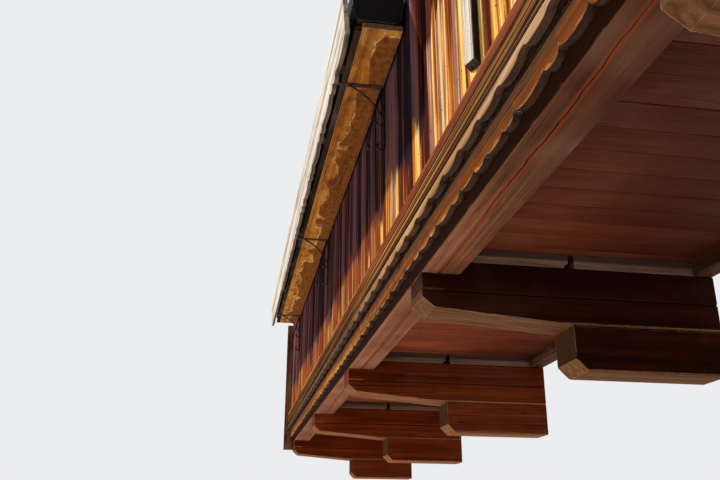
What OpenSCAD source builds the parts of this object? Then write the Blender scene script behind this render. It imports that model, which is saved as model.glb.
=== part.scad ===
/* [Layout] */
// Distance between the cross logs, middle to middle
bay = 1700; // [1500:10:1900]
// Distance between the last two cross logs at the near end
near_bay = 1795; // [1500:5:1900]
// Width of the corner boards beyond the last cross log
corner_w = 50; // [35:1:70]
// Wall to the outer face of the edge beam
deck_depth = 1145; // [950:5:1400]

/* [Cross logs] */
// Width of every log
log_w = 170; // [140:5:220]
// Upper log above the edge beam's underside
seat_h = 50; // [30:5:70]
// Joint between upper and lower log, below the edge beam's underside
log_joint = 63; // [50:1:80]
// Upright nose of the lower log
log_nose = 27; // [15:1:40]
// Length of the cut under the log's nose
log_cut_l = 45; // [25:5:80]
// Height of the cut under the log's nose
log_cut_h = 36; // [20:1:50]
// Fall of the lower log's underside towards the wall
log_fall = 40; // [10:5:60]
// Chamfer along the logs' edges
log_chamfer = 6; // [3:1:10]

/* [Corbels] */
// Reach of a corbel from the wall
corbel_reach = 585; // [400:5:700]
// Height of a corbel
corbel_h = 167; // [120:1:200]
// Cut under the corbel's nose
corbel_cut = 43; // [20:1:70]

/* [Packing planks] */
// Height of a packing plank on a cross log
packing_h = 54; // [35:1:80]
// Gap between the two lengths of packing plank
packing_gap = 26; // [10:1:50]
// Radius of the notch at the foot of the outer length
packing_notch = 16; // [8:1:24]
// Depth of the ledger along the wall
ledger_d = 80; // [50:5:120]

/* [Edge beam] */
// Width of the edge beam
edge_w = 145; // [120:5:180]
// Width of the floor's rebate in the edge beam
rebate_w = 60; // [40:5:70]
// Chamfer along the edge beam
edge_chamfer = 5; // [2:1:10]

/* [Floor] */
// Thickness of the floor
floor_t = 35; // [25:1:50]

/* [Balustrade] */
// Side of a post
post_w = 80; // [60:5:100]
// Posts back from the edge beam's outer face
post_set = 5; // [0:1:20]
// Handrail's top above the floor
rail_top = 1100; // [950:10:1200]
// Thickness of the handrail
handrail_t = 45; // [35:1:60]
// Width of the handrail
handrail_w = 120; // [100:5:150]
// Handrail's middle in front of the posts' middle
handrail_shift = 20; // [0:1:30]
// Handrail beyond the corner boards
handrail_over = 5; // [0:1:20]
// Chamfer along the handrail
handrail_chamfer = 8; // [3:1:15]
// Thickness of the backing rails
backing_t = 24; // [18:1:35]
// Height of a backing rail
backing_h = 90; // [60:5:120]
// Lower backing rail above the edge beam's underside
backing_low = 240; // [200:5:300]
// Thickness of the cladding
cladding_t = 20; // [15:1:30]
// Cladding's foot above the edge beam's underside
cladding_foot = 125; // [100:1:150]
// Cladding's top below the handrail's top
cladding_drop = 70; // [50:5:100]
// Thickness of the end boards
end_board_t = 24; // [18:1:30]
// Foot of the end boards below the edge beam's underside
end_board_foot = 25; // [10:1:60]
// Depth of the corner boards, front to back
corner_d = 140; // [100:5:180]
// Corner boards' face in front of the cladding
corner_proud = 49; // [30:1:60]
// Foot of the corner boards below the edge beam's underside
corner_foot = 70; // [40:5:100]

/* [Foot moulding] */
// Moulding's underside above the edge beam's underside
moulding_foot = 146; // [140:1:160]
// Depth of the moulding
moulding_d = 23; // [18:1:35]
// Height of the bead at the moulding's foot
bead_h = 22; // [16:1:28]
// Drop of the bead below the moulding's underside
bead_drop = 1; // [0.5:0.1:3]
// Height of the middle band
band_h = 41; // [30:1:50]
// Height of the top flat
flat_h = 42; // [30:1:50]
// Width of the quirks between the members
quirk_w = 5; // [3:0.5:8]
// Depth of the quirks
quirk_d = 7; // [4:0.5:10]
// Fall of the moulding's top
moulding_fall = 13; // [6:1:18]

/* [Valances] */
// Thickness of the lower valance
valance_t = 24; // [18:1:30]
// Tips of the lower valance above the edge beam's underside
valance_foot = 43; // [30:1:60]
// Length of one figure of the lower valance
valance_pitch = 400; // [350:10:480]
// Depth of the lower valance's lobes
valance_depth = 18; // [12:1:24]
// Middle of a hollow of the lower valance, from the balcony's middle
valance_phase = 40; // [-200:1:200]
// Rise of a hollow, as a share of the lobes' depth
hollow_share = 0.4; // [0.2:0.05:0.8]
// Height lost to the saw at the cusps
cusp_land = 2; // [1:0.5:4]
// Thickness of the upper valance
lath_t = 22; // [10:1:22]
// Drop of the upper valance below the moulding
lath_drop = 33; // [28:1:45]
// Depth of the upper valance's scallops
scallop_depth = 20; // [12:1:24]
// Length of one scallop of the upper valance
lath_pitch = 168; // [150:1:240]
// Middle of a scallop, from the balcony's middle
lath_phase = 33; // [-120:1:120]
// Width of the drooping part of a scallop
scallop_w = 128; // [100:1:140]

/* [Flower box] */
// Underside of the tray above the edge beam's underside
tray_foot = 1032; // [900:1:1060]
// Length of the tray
tray_l = 4647; // [4000:1:5000]
// Tray's near end from the middle of the balcony
tray_near = 1771; // [1500:1:1900]
// Width of the tray
tray_w = 165; // [150:1:190]
// Thickness of the tray planks
tray_t = 25; // [18:1:32]
// Gap between the tray and the cladding
tray_gap = 10; // [10:1:20]
// Width of the rail along the tray's outer edge
tray_rail_w = 29; // [20:1:35]
// Rail's near end, back from the tray's end
tray_rail_inset = 30; // [10:1:60]
// Thickness of the front board
front_t = 20; // [18:1:25]
// Height of the front board
front_h = 200; // [180:5:220]
// Foot of the front board below the tray's underside
front_drop = 51; // [35:1:60]
// Distance from the rail to the front board's foot
front_gap = 23; // [15:1:30]
// Lean of the front board in degrees
front_lean = 4; // [2:0.1:6]
// Length of one figure of the front board's foot
front_pitch = 462; // [400:1:520]
// Start of a figure, back from the front board's near end
front_phase = 288; // [200:1:400]
// Depth of the lobes of the front board's foot
front_depth = 20; // [12:1:26]
// Saw cut between two tray planks
plank_gap = 2; // [1:0.5:5]
// Length of a cleat between the rail and the front board
cleat_l = 60; // [40:5:100]
// Height of a cleat
cleat_h = 20; // [12:1:23]

/* [Troughs] */
// Length of a trough
trough_l = 900; // [800:1:905]
// Width of a trough at its foot
trough_w = 194; // [170:1:196]
// Height of a trough
trough_h = 140; // [120:1:160]
// Wall of a trough
trough_wall = 3; // [2:0.5:5]
// Outward flare of a trough's rim on each side
trough_flare = 14; // [8:1:16]
// Rounding of a trough's lower corners
trough_round = 26; // [15:1:32]
// Play between a trough's rim and the cladding
trough_play = 4; // [2:0.5:8]
// Near trough's end beyond the tray's end
trough_over = 12; // [0:1:30]

/* [Iron brackets] */
// Diameter of the bracket rods
rod_d = 10; // [8:1:14]
// Width of a bracket's strap
strap_w = 25; // [20:1:40]
// Thickness of a bracket's strap
strap_t = 5; // [4:1:8]
// Length of the upright rod
rod_drop = 305; // [250:5:350]
// Reach of a bracket's brace along the strap
brace_reach = 176; // [120:1:190]
// Foot of the brace below the tray
brace_drop = 175; // [120:1:200]
// Foot of the brace off the upright rod's axis
brace_off = 1; // [0.5:0.5:3]
// Bending radius of the brace
brace_r = 306; // [200:1:400]
// Head of the leaning rod from the cladding
lean_head = 12; // [8:1:30]
// Foot of the leaning rod from the cladding
lean_foot = 78; // [50:1:100]
// Foot of the leaning rod below the upright's foot
lean_over = 17; // [0:1:40]
// Bending radius of the leaning rod
lean_r = 1100; // [800:10:2000]
// Radius of the scroll at the upright's foot
scroll_r = 17; // [12:0.5:22]
// Turn of the scroll at the upright's foot in degrees
scroll_turn = 250; // [180:5:270]
// Radius of the scroll below the brace
brace_scroll_r = 18.5; // [12:0.5:22]
// Turn of the scroll below the brace in degrees
brace_scroll_turn = 190; // [150:5:270]
// Distance between the brackets under the tray
bracket_pitch = 1971; // [1700:1:2000]
// First bracket from the middle of the balcony
bracket_near = 1345; // [1200:5:1400]

/* [Batten on the cladding] */
// Width of the batten
batten_w = 85; // [50:1:90]
// Thickness of the batten
batten_t = 18; // [12:1:40]
// Foot of the batten's near side above the edge beam's underside
batten_foot = 302; // [285:1:400]
// Slope of the foot along the front in degrees
batten_slope = 19; // [5:1:35]
// Slope of the foot through the batten's thickness in degrees
batten_bevel = 48; // [20:1:60]
// Batten from the middle of the balcony
batten_x = 2560; // [2500:1:2650]

/* [Hidden] */
$fn = 64;
LOGS = 5;
log_xs = [-2 * bay, -bay, 0, bay, bay + near_bay];
far_end = log_xs[0] - log_w / 2;
near_end = log_xs[LOGS - 1] + log_w / 2;
front_l = near_end - far_end;
front_mid = (near_end + far_end) / 2;
face_y = -deck_depth;
post_y = face_y + post_set;
edge_in = face_y + edge_w;
floor_z = seat_h + packing_h;
deck_z = floor_z + floor_t;
log_foot = log_joint + log_nose + log_cut_h + log_fall;
corbel_z = -log_foot;
clad_in = post_y - backing_t;
clad_out = clad_in - cladding_t;
corner_y = clad_out - corner_proud;
return_y = corner_y + corner_d;
rail_z = deck_z + rail_top;
post_top = rail_z - handrail_t;
clad_top = rail_z - cladding_drop;
// Figures of the scalloped boards: shares of the figure's length, a hollow negative
VALANCE_FIGURE = [-0.2, 0.28, 0.24, 0.28];
FRONT_FIGURE = [0.6, 0.2, 0.2];
tray_in = clad_out - tray_gap;
tray_out = tray_in - tray_w;
tray_rail_out = tray_out - tray_rail_w;
front_in = tray_rail_out - front_gap;
front_foot = tray_foot - front_drop;
tray_far = tray_near - tray_l;
tray_top = tray_foot + tray_t;
TROUGHS = 5;
CLEATS = 7;
BRACKETS = 3;

// Extrudes an outline in Y and Z along X, from x to x + w
module along_x(x, w) {
  translate([x, 0, 0]) rotate([90, 0, 90]) linear_extrude(w) children();
}

// Extrudes an outline in X and Z along Y, from y to y + d
module along_y(y, d) {
  translate([0, y + d, 0]) rotate([90, 0, 0]) linear_extrude(d) children();
}

// Box between two corners
module block(low, high) {
  translate(low) cube([high.x - low.x, high.y - low.y, high.z - low.z]);
}

// Rectangle with cut corners, low and high corner, cut size
function cut_box(x0, z0, x1, z1, c) = [
  [x0 + c, z0], [x1 - c, z0], [x1, z0 + c], [x1, z1 - c],
  [x1 - c, z1], [x0 + c, z1], [x0, z1 - c], [x0, z0 + c]
];

// Upper cross log with the seat of the edge beam
module cross_log(i) {
  color("#5a2c18") intersection() {
    along_x(log_xs[i] - log_w / 2, log_w)
      polygon([[face_y, -log_joint], [0, -log_joint], [0, seat_h], [edge_in, seat_h], [edge_in, 0], [face_y, 0]]);
    along_y(face_y, deck_depth)
      polygon(cut_box(log_xs[i] - log_w / 2, -log_joint, log_xs[i] + log_w / 2, seat_h, log_chamfer));
  }
}

// Lower cross log with cut nose and falling underside
module lower_log(i) {
  nose_z = -log_joint - log_nose;
  color("#522714") intersection() {
    along_x(log_xs[i] - log_w / 2, log_w)
      polygon([[face_y, -log_joint], [face_y, nose_z], [face_y + log_cut_l, nose_z - log_cut_h],
               [-corbel_reach, corbel_z], [0, corbel_z], [0, -log_joint]]);
    along_y(face_y, deck_depth)
      polygon(cut_box(log_xs[i] - log_w / 2, corbel_z, log_xs[i] + log_w / 2, -log_joint, log_chamfer));
  }
}

// Corbel under a lower log
module corbel(i) {
  color("#5e3019") intersection() {
    along_x(log_xs[i] - log_w / 2, log_w)
      polygon([[-corbel_reach, corbel_z], [-corbel_reach, corbel_z - corbel_h + corbel_cut],
               [-corbel_reach + corbel_cut, corbel_z - corbel_h], [0, corbel_z - corbel_h], [0, corbel_z]]);
    along_y(-corbel_reach, corbel_reach)
      polygon(cut_box(log_xs[i] - log_w / 2, corbel_z - corbel_h, log_xs[i] + log_w / 2, corbel_z, log_chamfer));
  }
}

// Packing planks in two lengths on every cross log, the outer one notched at the gap
module packing_planks() {
  split = -corbel_reach + packing_gap / 2;
  color("#b08f80") for (x = log_xs) {
    difference() {
      block([x - log_w / 2, edge_in, seat_h], [x + log_w / 2, split - packing_gap / 2, floor_z]);
      translate([x - log_w, split - packing_gap / 2, seat_h]) rotate([0, 90, 0]) cylinder(r = packing_notch, h = 2 * log_w);
    }
    block([x - log_w / 2, split + packing_gap / 2, seat_h], [x + log_w / 2, -ledger_d, floor_z]);
  }
}

// Ledger on the logs along the wall
module wall_ledger() {
  color("#5a3220")
    block([far_end, -ledger_d, seat_h], [near_end, 0, floor_z]);
}

// Edge beam along the balcony's front, with a rebate for the floor
module edge_beam() {
  c = edge_chamfer;
  color("#8f6450") along_x(far_end, front_l)
    polygon([[face_y + c, 0], [edge_in - c, 0], [edge_in, c], [edge_in, floor_z], [edge_in - rebate_w, floor_z],
             [edge_in - rebate_w, deck_z], [face_y, deck_z], [face_y, c]]);
}

// Floor of one bay, the outer bays over the whole end log
module floor_bay(i) {
  x0 = i == 0 ? far_end : log_xs[i];
  x1 = i == LOGS - 2 ? near_end : log_xs[i + 1];
  color("#7c4a34") block([x0, edge_in - rebate_w, floor_z], [x1, 0, deck_z]);
}

// Posts behind the cladding, at the corners and at the wall
module posts() {
  corners = [far_end + post_w / 2, near_end - post_w / 2];
  front_xs = concat([corners[0]], [for (i = [1 : LOGS - 2]) log_xs[i]], [corners[1]]);
  color("#5f3a26") {
    for (x = front_xs) block([x - post_w / 2, post_y, deck_z], [x + post_w / 2, post_y + post_w, post_top]);
    for (x = corners) block([x - post_w / 2, -post_w, deck_z], [x + post_w / 2, 0, post_top]);
  }
}

// Backing rails that carry the cladding, front and ends
module backing_rails() {
  high = clad_top - backing_h;
  color("#64402c") {
    for (z = [backing_low, high]) block([far_end, clad_in, z], [near_end, post_y, z + backing_h]);
    for (z = [deck_z - backing_h, backing_low, high], x = [far_end - backing_t, near_end])
      block([x, return_y, z], [x + backing_t, 0, z + backing_h]);
  }
}

// Handrail over posts and cladding, with its returns to the wall
module handrail() {
  c = handrail_chamfer;
  y0 = post_y + post_w / 2 - handrail_shift - handrail_w / 2;
  y1 = y0 + handrail_w;
  over = corner_w + handrail_over;
  color("#6b4630") {
    along_x(far_end - over, front_l + 2 * over) polygon(cut_box(y0, post_top, y1, rail_z, c));
    for (x = [far_end - over, near_end + over - handrail_w])
      along_y(y1, -y1) polygon(cut_box(x, post_top, x + handrail_w, rail_z, c));
  }
}

// Cladding of one bay
module cladding_bay(i) {
  x0 = i == 0 ? far_end : log_xs[i];
  x1 = i == LOGS - 2 ? near_end : log_xs[i + 1];
  color("#a4603a") block([x0, clad_out, cladding_foot], [x1, clad_in, clad_top]);
}

// Boards that close one end of the balcony
module end_boards(side) {
  x = side > 0 ? near_end + backing_t : far_end - backing_t - end_board_t;
  color("#9a5636") block([x, return_y, -end_board_foot], [x + end_board_t, 0, clad_top]);
}

// Corner boards that the front's rails and valances butt against
module corner_boards() {
  color("#a05a38") for (x = [far_end - corner_w, near_end])
    block([x, corner_y, -corner_foot], [x + corner_w, return_y, clad_top]);
}

// Moulded rail at the foot of the cladding: bead, splayed band and flat between quirks
module foot_moulding() {
  d = moulding_d;
  r = bead_h / 2;
  z_band = bead_h + quirk_w;
  z_flat = z_band + band_h + quirk_w;
  color("#7a4c30") translate([0, clad_out, moulding_foot]) union() {
    along_x(far_end, front_l) polygon([
      [0, bead_drop], [-d + r, bead_drop], [-d + r, bead_h - bead_drop], [-d + quirk_d, bead_h - bead_drop],
      [-d + quirk_d, z_band], [-d, z_band + band_h / 2], [-d, z_band + band_h], [-d + quirk_d, z_band + band_h],
      [-d + quirk_d, z_flat], [-d, z_flat], [-d, z_flat + flat_h], [0, z_flat + flat_h + moulding_fall]]);
    translate([far_end, -d + r, r]) rotate([0, 90, 0]) cylinder(r = r, h = front_l);
  }
}

// Radius of an arc from its width and its rise
function arc_r(w, rise) = (w * w / 4 + rise * rise) / (2 * rise);

// Sum of the first n sizes of a figure
function reach(figure, n) = n == 0 ? 0 : abs(figure[n - 1]) + reach(figure, n - 1);

// Board with a foot of drooping lobes and round hollows, a figure repeated along its length
module scalloped_board(length, height, depth, pitch, phase, figure) {
  count = ceil(length / pitch / 2) + 1;
  rise = depth * hollow_share;
  intersection() {
    translate([-length / 2, 0]) square([length, height]);
    difference() {
      union() {
        translate([-length / 2, depth - cusp_land]) square([length, height]);
        for (k = [-count : count], j = [0 : len(figure) - 1]) if (figure[j] > 0) {
          r = arc_r(figure[j] * pitch, depth);
          translate([phase + (k + reach(figure, j) + figure[j] / 2) * pitch, r]) intersection() {
            circle(r, $fn = 180);
            translate([-figure[j] * pitch / 2, -r]) square([figure[j] * pitch, depth]);
          }
        }
      }
      for (k = [-count : count], j = [0 : len(figure) - 1]) if (figure[j] < 0) {
        r = arc_r(-figure[j] * pitch, rise);
        translate([phase + (k + reach(figure, j) - figure[j] / 2) * pitch, depth + rise - r]) intersection() {
          circle(r, $fn = 180);
          translate([figure[j] * pitch / 2, r - rise - depth / 2]) square([-figure[j] * pitch, depth]);
        }
      }
    }
  }
}

// Upper valance, a lath with shallow scallops
module upper_valance() {
  count = ceil(front_l / lath_pitch / 2) + 2;
  r = arc_r(scallop_w, scallop_depth);
  color("#cdb48e") along_y(clad_out - lath_t, lath_t) translate([0, moulding_foot - lath_drop]) intersection() {
    translate([far_end, 0]) square([front_l, lath_drop]);
    union() {
      translate([far_end, scallop_depth]) square([front_l, lath_drop]);
      for (k = [-count : count]) translate([lath_phase + k * lath_pitch, r]) circle(r, $fn = 180);
    }
  }
}

// Lower valance on the edge beam's face, under the cladding's foot
module lower_valance() {
  color("#b06a36") along_y(face_y - valance_t, valance_t) translate([front_mid, valance_foot])
    scalloped_board(front_l, cladding_foot - valance_foot, valance_depth, valance_pitch,
                    valance_phase - front_mid + VALANCE_FIGURE[0] * valance_pitch / 2, VALANCE_FIGURE);
}

// Planks of the flower box's tray, parted at the brackets
module tray_planks() {
  parts = [tray_near, bracket_near, bracket_near - bracket_pitch, bracket_near - 2 * bracket_pitch, tray_far];
  color("#b07a35") for (k = [0 : len(parts) - 2])
    block([parts[k + 1] + plank_gap / 2, tray_out, tray_foot], [parts[k] - plank_gap / 2, tray_in, tray_top]);
}

// Rail along the tray's outer edge
module tray_rail() {
  color("#5b412c") block([tray_far, tray_rail_out, tray_foot], [tray_near - tray_rail_inset, tray_out, tray_top]);
}

// Front board of the flower box, leaning outwards
module front_board() {
  color("#c9c2b4") translate([tray_near - tray_l / 2, front_in, front_foot]) rotate([front_lean, 0, 0])
    along_y(-front_t, front_t)
      scalloped_board(tray_l, front_h, front_depth, front_pitch, tray_l / 2 - front_phase, FRONT_FIGURE);
}

// Inner face of the front board at a height
function front_face(z) = front_in - (z - front_foot) * tan(front_lean);

// Cleats between the rail and the front board
module front_cleats() {
  low = tray_top - cleat_h;
  color("#4c3524") for (k = [0 : CLEATS - 1])
    along_x(tray_far + tray_l * (k + 0.5) / CLEATS - cleat_l / 2, cleat_l) polygon([
      [tray_rail_out, low], [tray_rail_out, tray_top], [front_face(tray_top), tray_top], [front_face(low), low]]);
}

// Open trough with a rounded foot and flaring sides, low corner at the origin
module trough(l, w, h) {
  r = trough_round;
  inner = [for (a = [180 : 15 : 270]) [r + r * cos(a), r + r * sin(a)]];
  far = len(inner) - 1;
  outline = concat([[-trough_flare, h]], inner, [for (p = [far : -1 : 0]) [w - inner[p].x, inner[p].y]],
                   [[w + trough_flare, h]]);
  hollow = [for (p = outline) [p.x + (p.x < w / 2 ? trough_wall : -trough_wall), p.y + (p.y < h ? trough_wall : 1)]];
  difference() {
    along_x(0, l) polygon(outline);
    along_x(trough_wall, l - 2 * trough_wall) polygon(hollow);
  }
}

// Troughs that stand in a row on the tray and its rail
module tray_troughs() {
  step = (tray_l + trough_over) / TROUGHS;
  color("#23201d") for (k = [0 : TROUGHS - 1])
    translate([tray_near + trough_over - step * k - trough_l, clad_out - trough_play - trough_flare - trough_w, tray_top])
      trough(trough_l, trough_w, trough_h);
}

// Bent rod from p to q in the plane of a bracket, curved round a centre on its left
module bent_rod(p, q, bend_r) {
  chord = q - p;
  l = norm(chord);
  left = [-chord.y, chord.x] / l;
  centre = (p + q) / 2 + left * sqrt(bend_r * bend_r - l * l / 4);
  a0 = atan2(p.y - centre.y, p.x - centre.x);
  a1 = atan2(q.y - centre.y, q.x - centre.x);
  sweep = a1 < a0 ? a1 - a0 + 360 : a1 - a0;
  translate(centre) rotate([0, 0, a0]) rotate_extrude(angle = sweep) translate([bend_r, 0]) circle(d = rod_d);
}

// Scroll that leaves the upright rod downwards and curls out and up
module scroll(top, r, turn) {
  translate([rod_d / 2 + r, top]) rotate([0, 0, 180])
    rotate_extrude(angle = turn) translate([r, 0]) circle(d = rod_d);
}

// Iron bracket in its own plane: strap, upright, brace, leaning rod and two scrolls
module bracket() {
  reach = clad_out - front_in;
  mid = -strap_t / 2;
  translate([0, -strap_t, -strap_w / 2]) cube([reach, strap_t, strap_w]);
  translate([rod_d / 2, -rod_drop, 0]) rotate([-90, 0, 0]) cylinder(h = rod_drop + mid, d = rod_d);
  bent_rod([brace_reach, mid], [rod_d / 2 + brace_off, -brace_drop], brace_r);
  bent_rod([lean_foot, -rod_drop - lean_over], [lean_head, mid], lean_r);
  scroll(-brace_drop - rod_d / 2, brace_scroll_r, brace_scroll_turn);
  scroll(-rod_drop, scroll_r, scroll_turn);
}

// Brackets under the tray
module iron_brackets() {
  color("#2b2624") for (k = [0 : BRACKETS - 1])
    translate([bracket_near - k * bracket_pitch, clad_out, tray_foot]) rotate([90, 0, -90]) bracket();
}

// Upright batten on the cladding, its foot cut at two slopes
module cladding_batten() {
  color("#8d8377") difference() {
    block([batten_x, clad_out - batten_t, batten_foot - batten_t], [batten_x + batten_w, clad_out, clad_top]);
    translate([batten_x + batten_w, clad_out, batten_foot]) rotate([-batten_bevel, batten_slope, 0])
      block([-2 * batten_w, -batten_w, -batten_w], [batten_w, batten_w, 0]);
  }
}

cross_log(0);  // cross_log_1
cross_log(1);  // cross_log_2
cross_log(2);  // cross_log_3
cross_log(3);  // cross_log_4
cross_log(4);  // cross_log_5
lower_log(0);  // lower_log_1
lower_log(1);  // lower_log_2
lower_log(2);  // lower_log_3
lower_log(3);  // lower_log_4
lower_log(4);  // lower_log_5
corbel(0);  // corbel_1
corbel(1);  // corbel_2
corbel(2);  // corbel_3
corbel(3);  // corbel_4
corbel(4);  // corbel_5
packing_planks();
wall_ledger();
edge_beam();
floor_bay(0);  // floor_bay_1
floor_bay(1);  // floor_bay_2
floor_bay(2);  // floor_bay_3
floor_bay(3);  // floor_bay_4
posts();
backing_rails();
handrail();
cladding_bay(0);  // cladding_bay_1
cladding_bay(1);  // cladding_bay_2
cladding_bay(2);  // cladding_bay_3
cladding_bay(3);  // cladding_bay_4
end_boards(-1);  // end_boards_left
end_boards(1);  // end_boards_right
corner_boards();
foot_moulding();
upper_valance();
lower_valance();
tray_planks();
tray_rail();
front_board();
front_cleats();
tray_troughs();
iron_brackets();
cladding_batten();
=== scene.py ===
"""Looks of an alpine chalet's timber balcony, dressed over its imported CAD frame.

Lengths are metres. X runs along the house front, Y into the wall, Z up; the edge beam's underside is at
Z = 0. Boards are numpy surfaces, and every timber finish grows from one shared grain pattern on Object
coordinates.
"""
from __future__ import annotations

import logging
import math
from collections.abc import Sequence
from dataclasses import dataclass, field
from enum import Enum
from functools import cache

import bpy
import numpy as np
from mathutils import Matrix, Vector


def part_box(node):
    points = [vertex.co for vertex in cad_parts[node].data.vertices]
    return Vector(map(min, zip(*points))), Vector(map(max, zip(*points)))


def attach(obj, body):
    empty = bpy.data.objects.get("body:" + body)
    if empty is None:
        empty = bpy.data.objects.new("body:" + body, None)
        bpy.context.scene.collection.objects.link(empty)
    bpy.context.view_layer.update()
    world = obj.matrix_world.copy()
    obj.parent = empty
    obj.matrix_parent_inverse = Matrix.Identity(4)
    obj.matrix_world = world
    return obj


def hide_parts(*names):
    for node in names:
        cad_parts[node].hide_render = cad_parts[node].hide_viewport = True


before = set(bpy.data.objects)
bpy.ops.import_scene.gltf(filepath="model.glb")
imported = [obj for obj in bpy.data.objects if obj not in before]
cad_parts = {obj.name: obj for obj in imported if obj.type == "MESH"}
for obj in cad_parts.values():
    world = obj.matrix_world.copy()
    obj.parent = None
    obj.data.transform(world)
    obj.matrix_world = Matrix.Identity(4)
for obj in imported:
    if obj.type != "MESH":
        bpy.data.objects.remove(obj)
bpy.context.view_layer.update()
LOG = logging.getLogger("balcony")
ROOT = "root"
Range = tuple[float, float]
Triple = tuple[float, float, float]
Colour = Triple
Stops = Sequence[tuple[float, Colour]]


class Axis(Enum):
    """A direction of the balcony, with its place in a coordinate triple."""

    X = 0
    Y = 1
    Z = 2


# Shader graphs


class Field:
    """A number, vector or colour that varies over a surface, so that a pattern reads like a formula."""

    def __init__(self, graph: Graph, socket: bpy.types.NodeSocket) -> None:
        """Keeps the graph and the socket that gives the values."""
        self.graph = graph
        self.socket = socket

    def __add__(self, other: Value) -> Field:
        """Returns the sum."""
        return self.graph.math("ADD", self, other)

    def __sub__(self, other: Value) -> Field:
        """Returns the difference."""
        return self.graph.math("SUBTRACT", self, other)

    def __rsub__(self, other: Value) -> Field:
        """Returns another number less this one."""
        return self.graph.math("SUBTRACT", other, self)

    def __mul__(self, other: Value) -> Field:
        """Returns the product."""
        return self.graph.math("MULTIPLY", self, other)

    def __truediv__(self, other: Value) -> Field:
        """Returns the quotient."""
        return self.graph.math("DIVIDE", self, other)

    def __abs__(self) -> Field:
        """Returns the number without its sign."""
        return self.graph.math("ABSOLUTE", self)

    def clamped(self) -> Field:
        """Returns the number held between 0 and 1."""
        return self.graph.math("ADD", self, 0.0, clamp=True)

    def span(self, low: float, high: float, start: float = 0.0, end: float = 1.0) -> Field:
        """Carries a range onto another with a smooth step.

        Args:
            low: Where the range starts.
            high: Where the range ends.
            start: Result at low and before.
            end: Result at high and beyond.

        Returns:
            The result.
        """
        values = dict(enumerate((self, low, high, start, end)))
        return self.graph.out(self.graph.add("ShaderNodeMapRange", values, interpolation_type="SMOOTHSTEP"))

    def rise(self, low: float, high: float, top: float = 1.0) -> Field:
        """Returns nothing before a range, growing smoothly to the top value beyond it."""
        return self.span(low, high, 0.0, top)

    def fall(self, low: float, high: float, top: float = 1.0) -> Field:
        """Returns the top value before a range, falling smoothly to nothing beyond it."""
        return self.span(low, high, top, 0.0)

    def between(self, first: Value, second: Value) -> Field:
        """Returns the colour that stands this share of the way from one colour to another."""
        return self.graph.mix(self, first, second)

    def toward(self, other: Value, share: Value) -> Field:
        """Returns this colour, moved towards another one by a share."""
        return self.graph.mix(share, self, other)

    def tinted(self, tint: Value) -> Field:
        """Returns this colour times another one."""
        return self.graph.mix(1.0, self, tint, "MULTIPLY")


Value = Field | float | Triple


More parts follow.
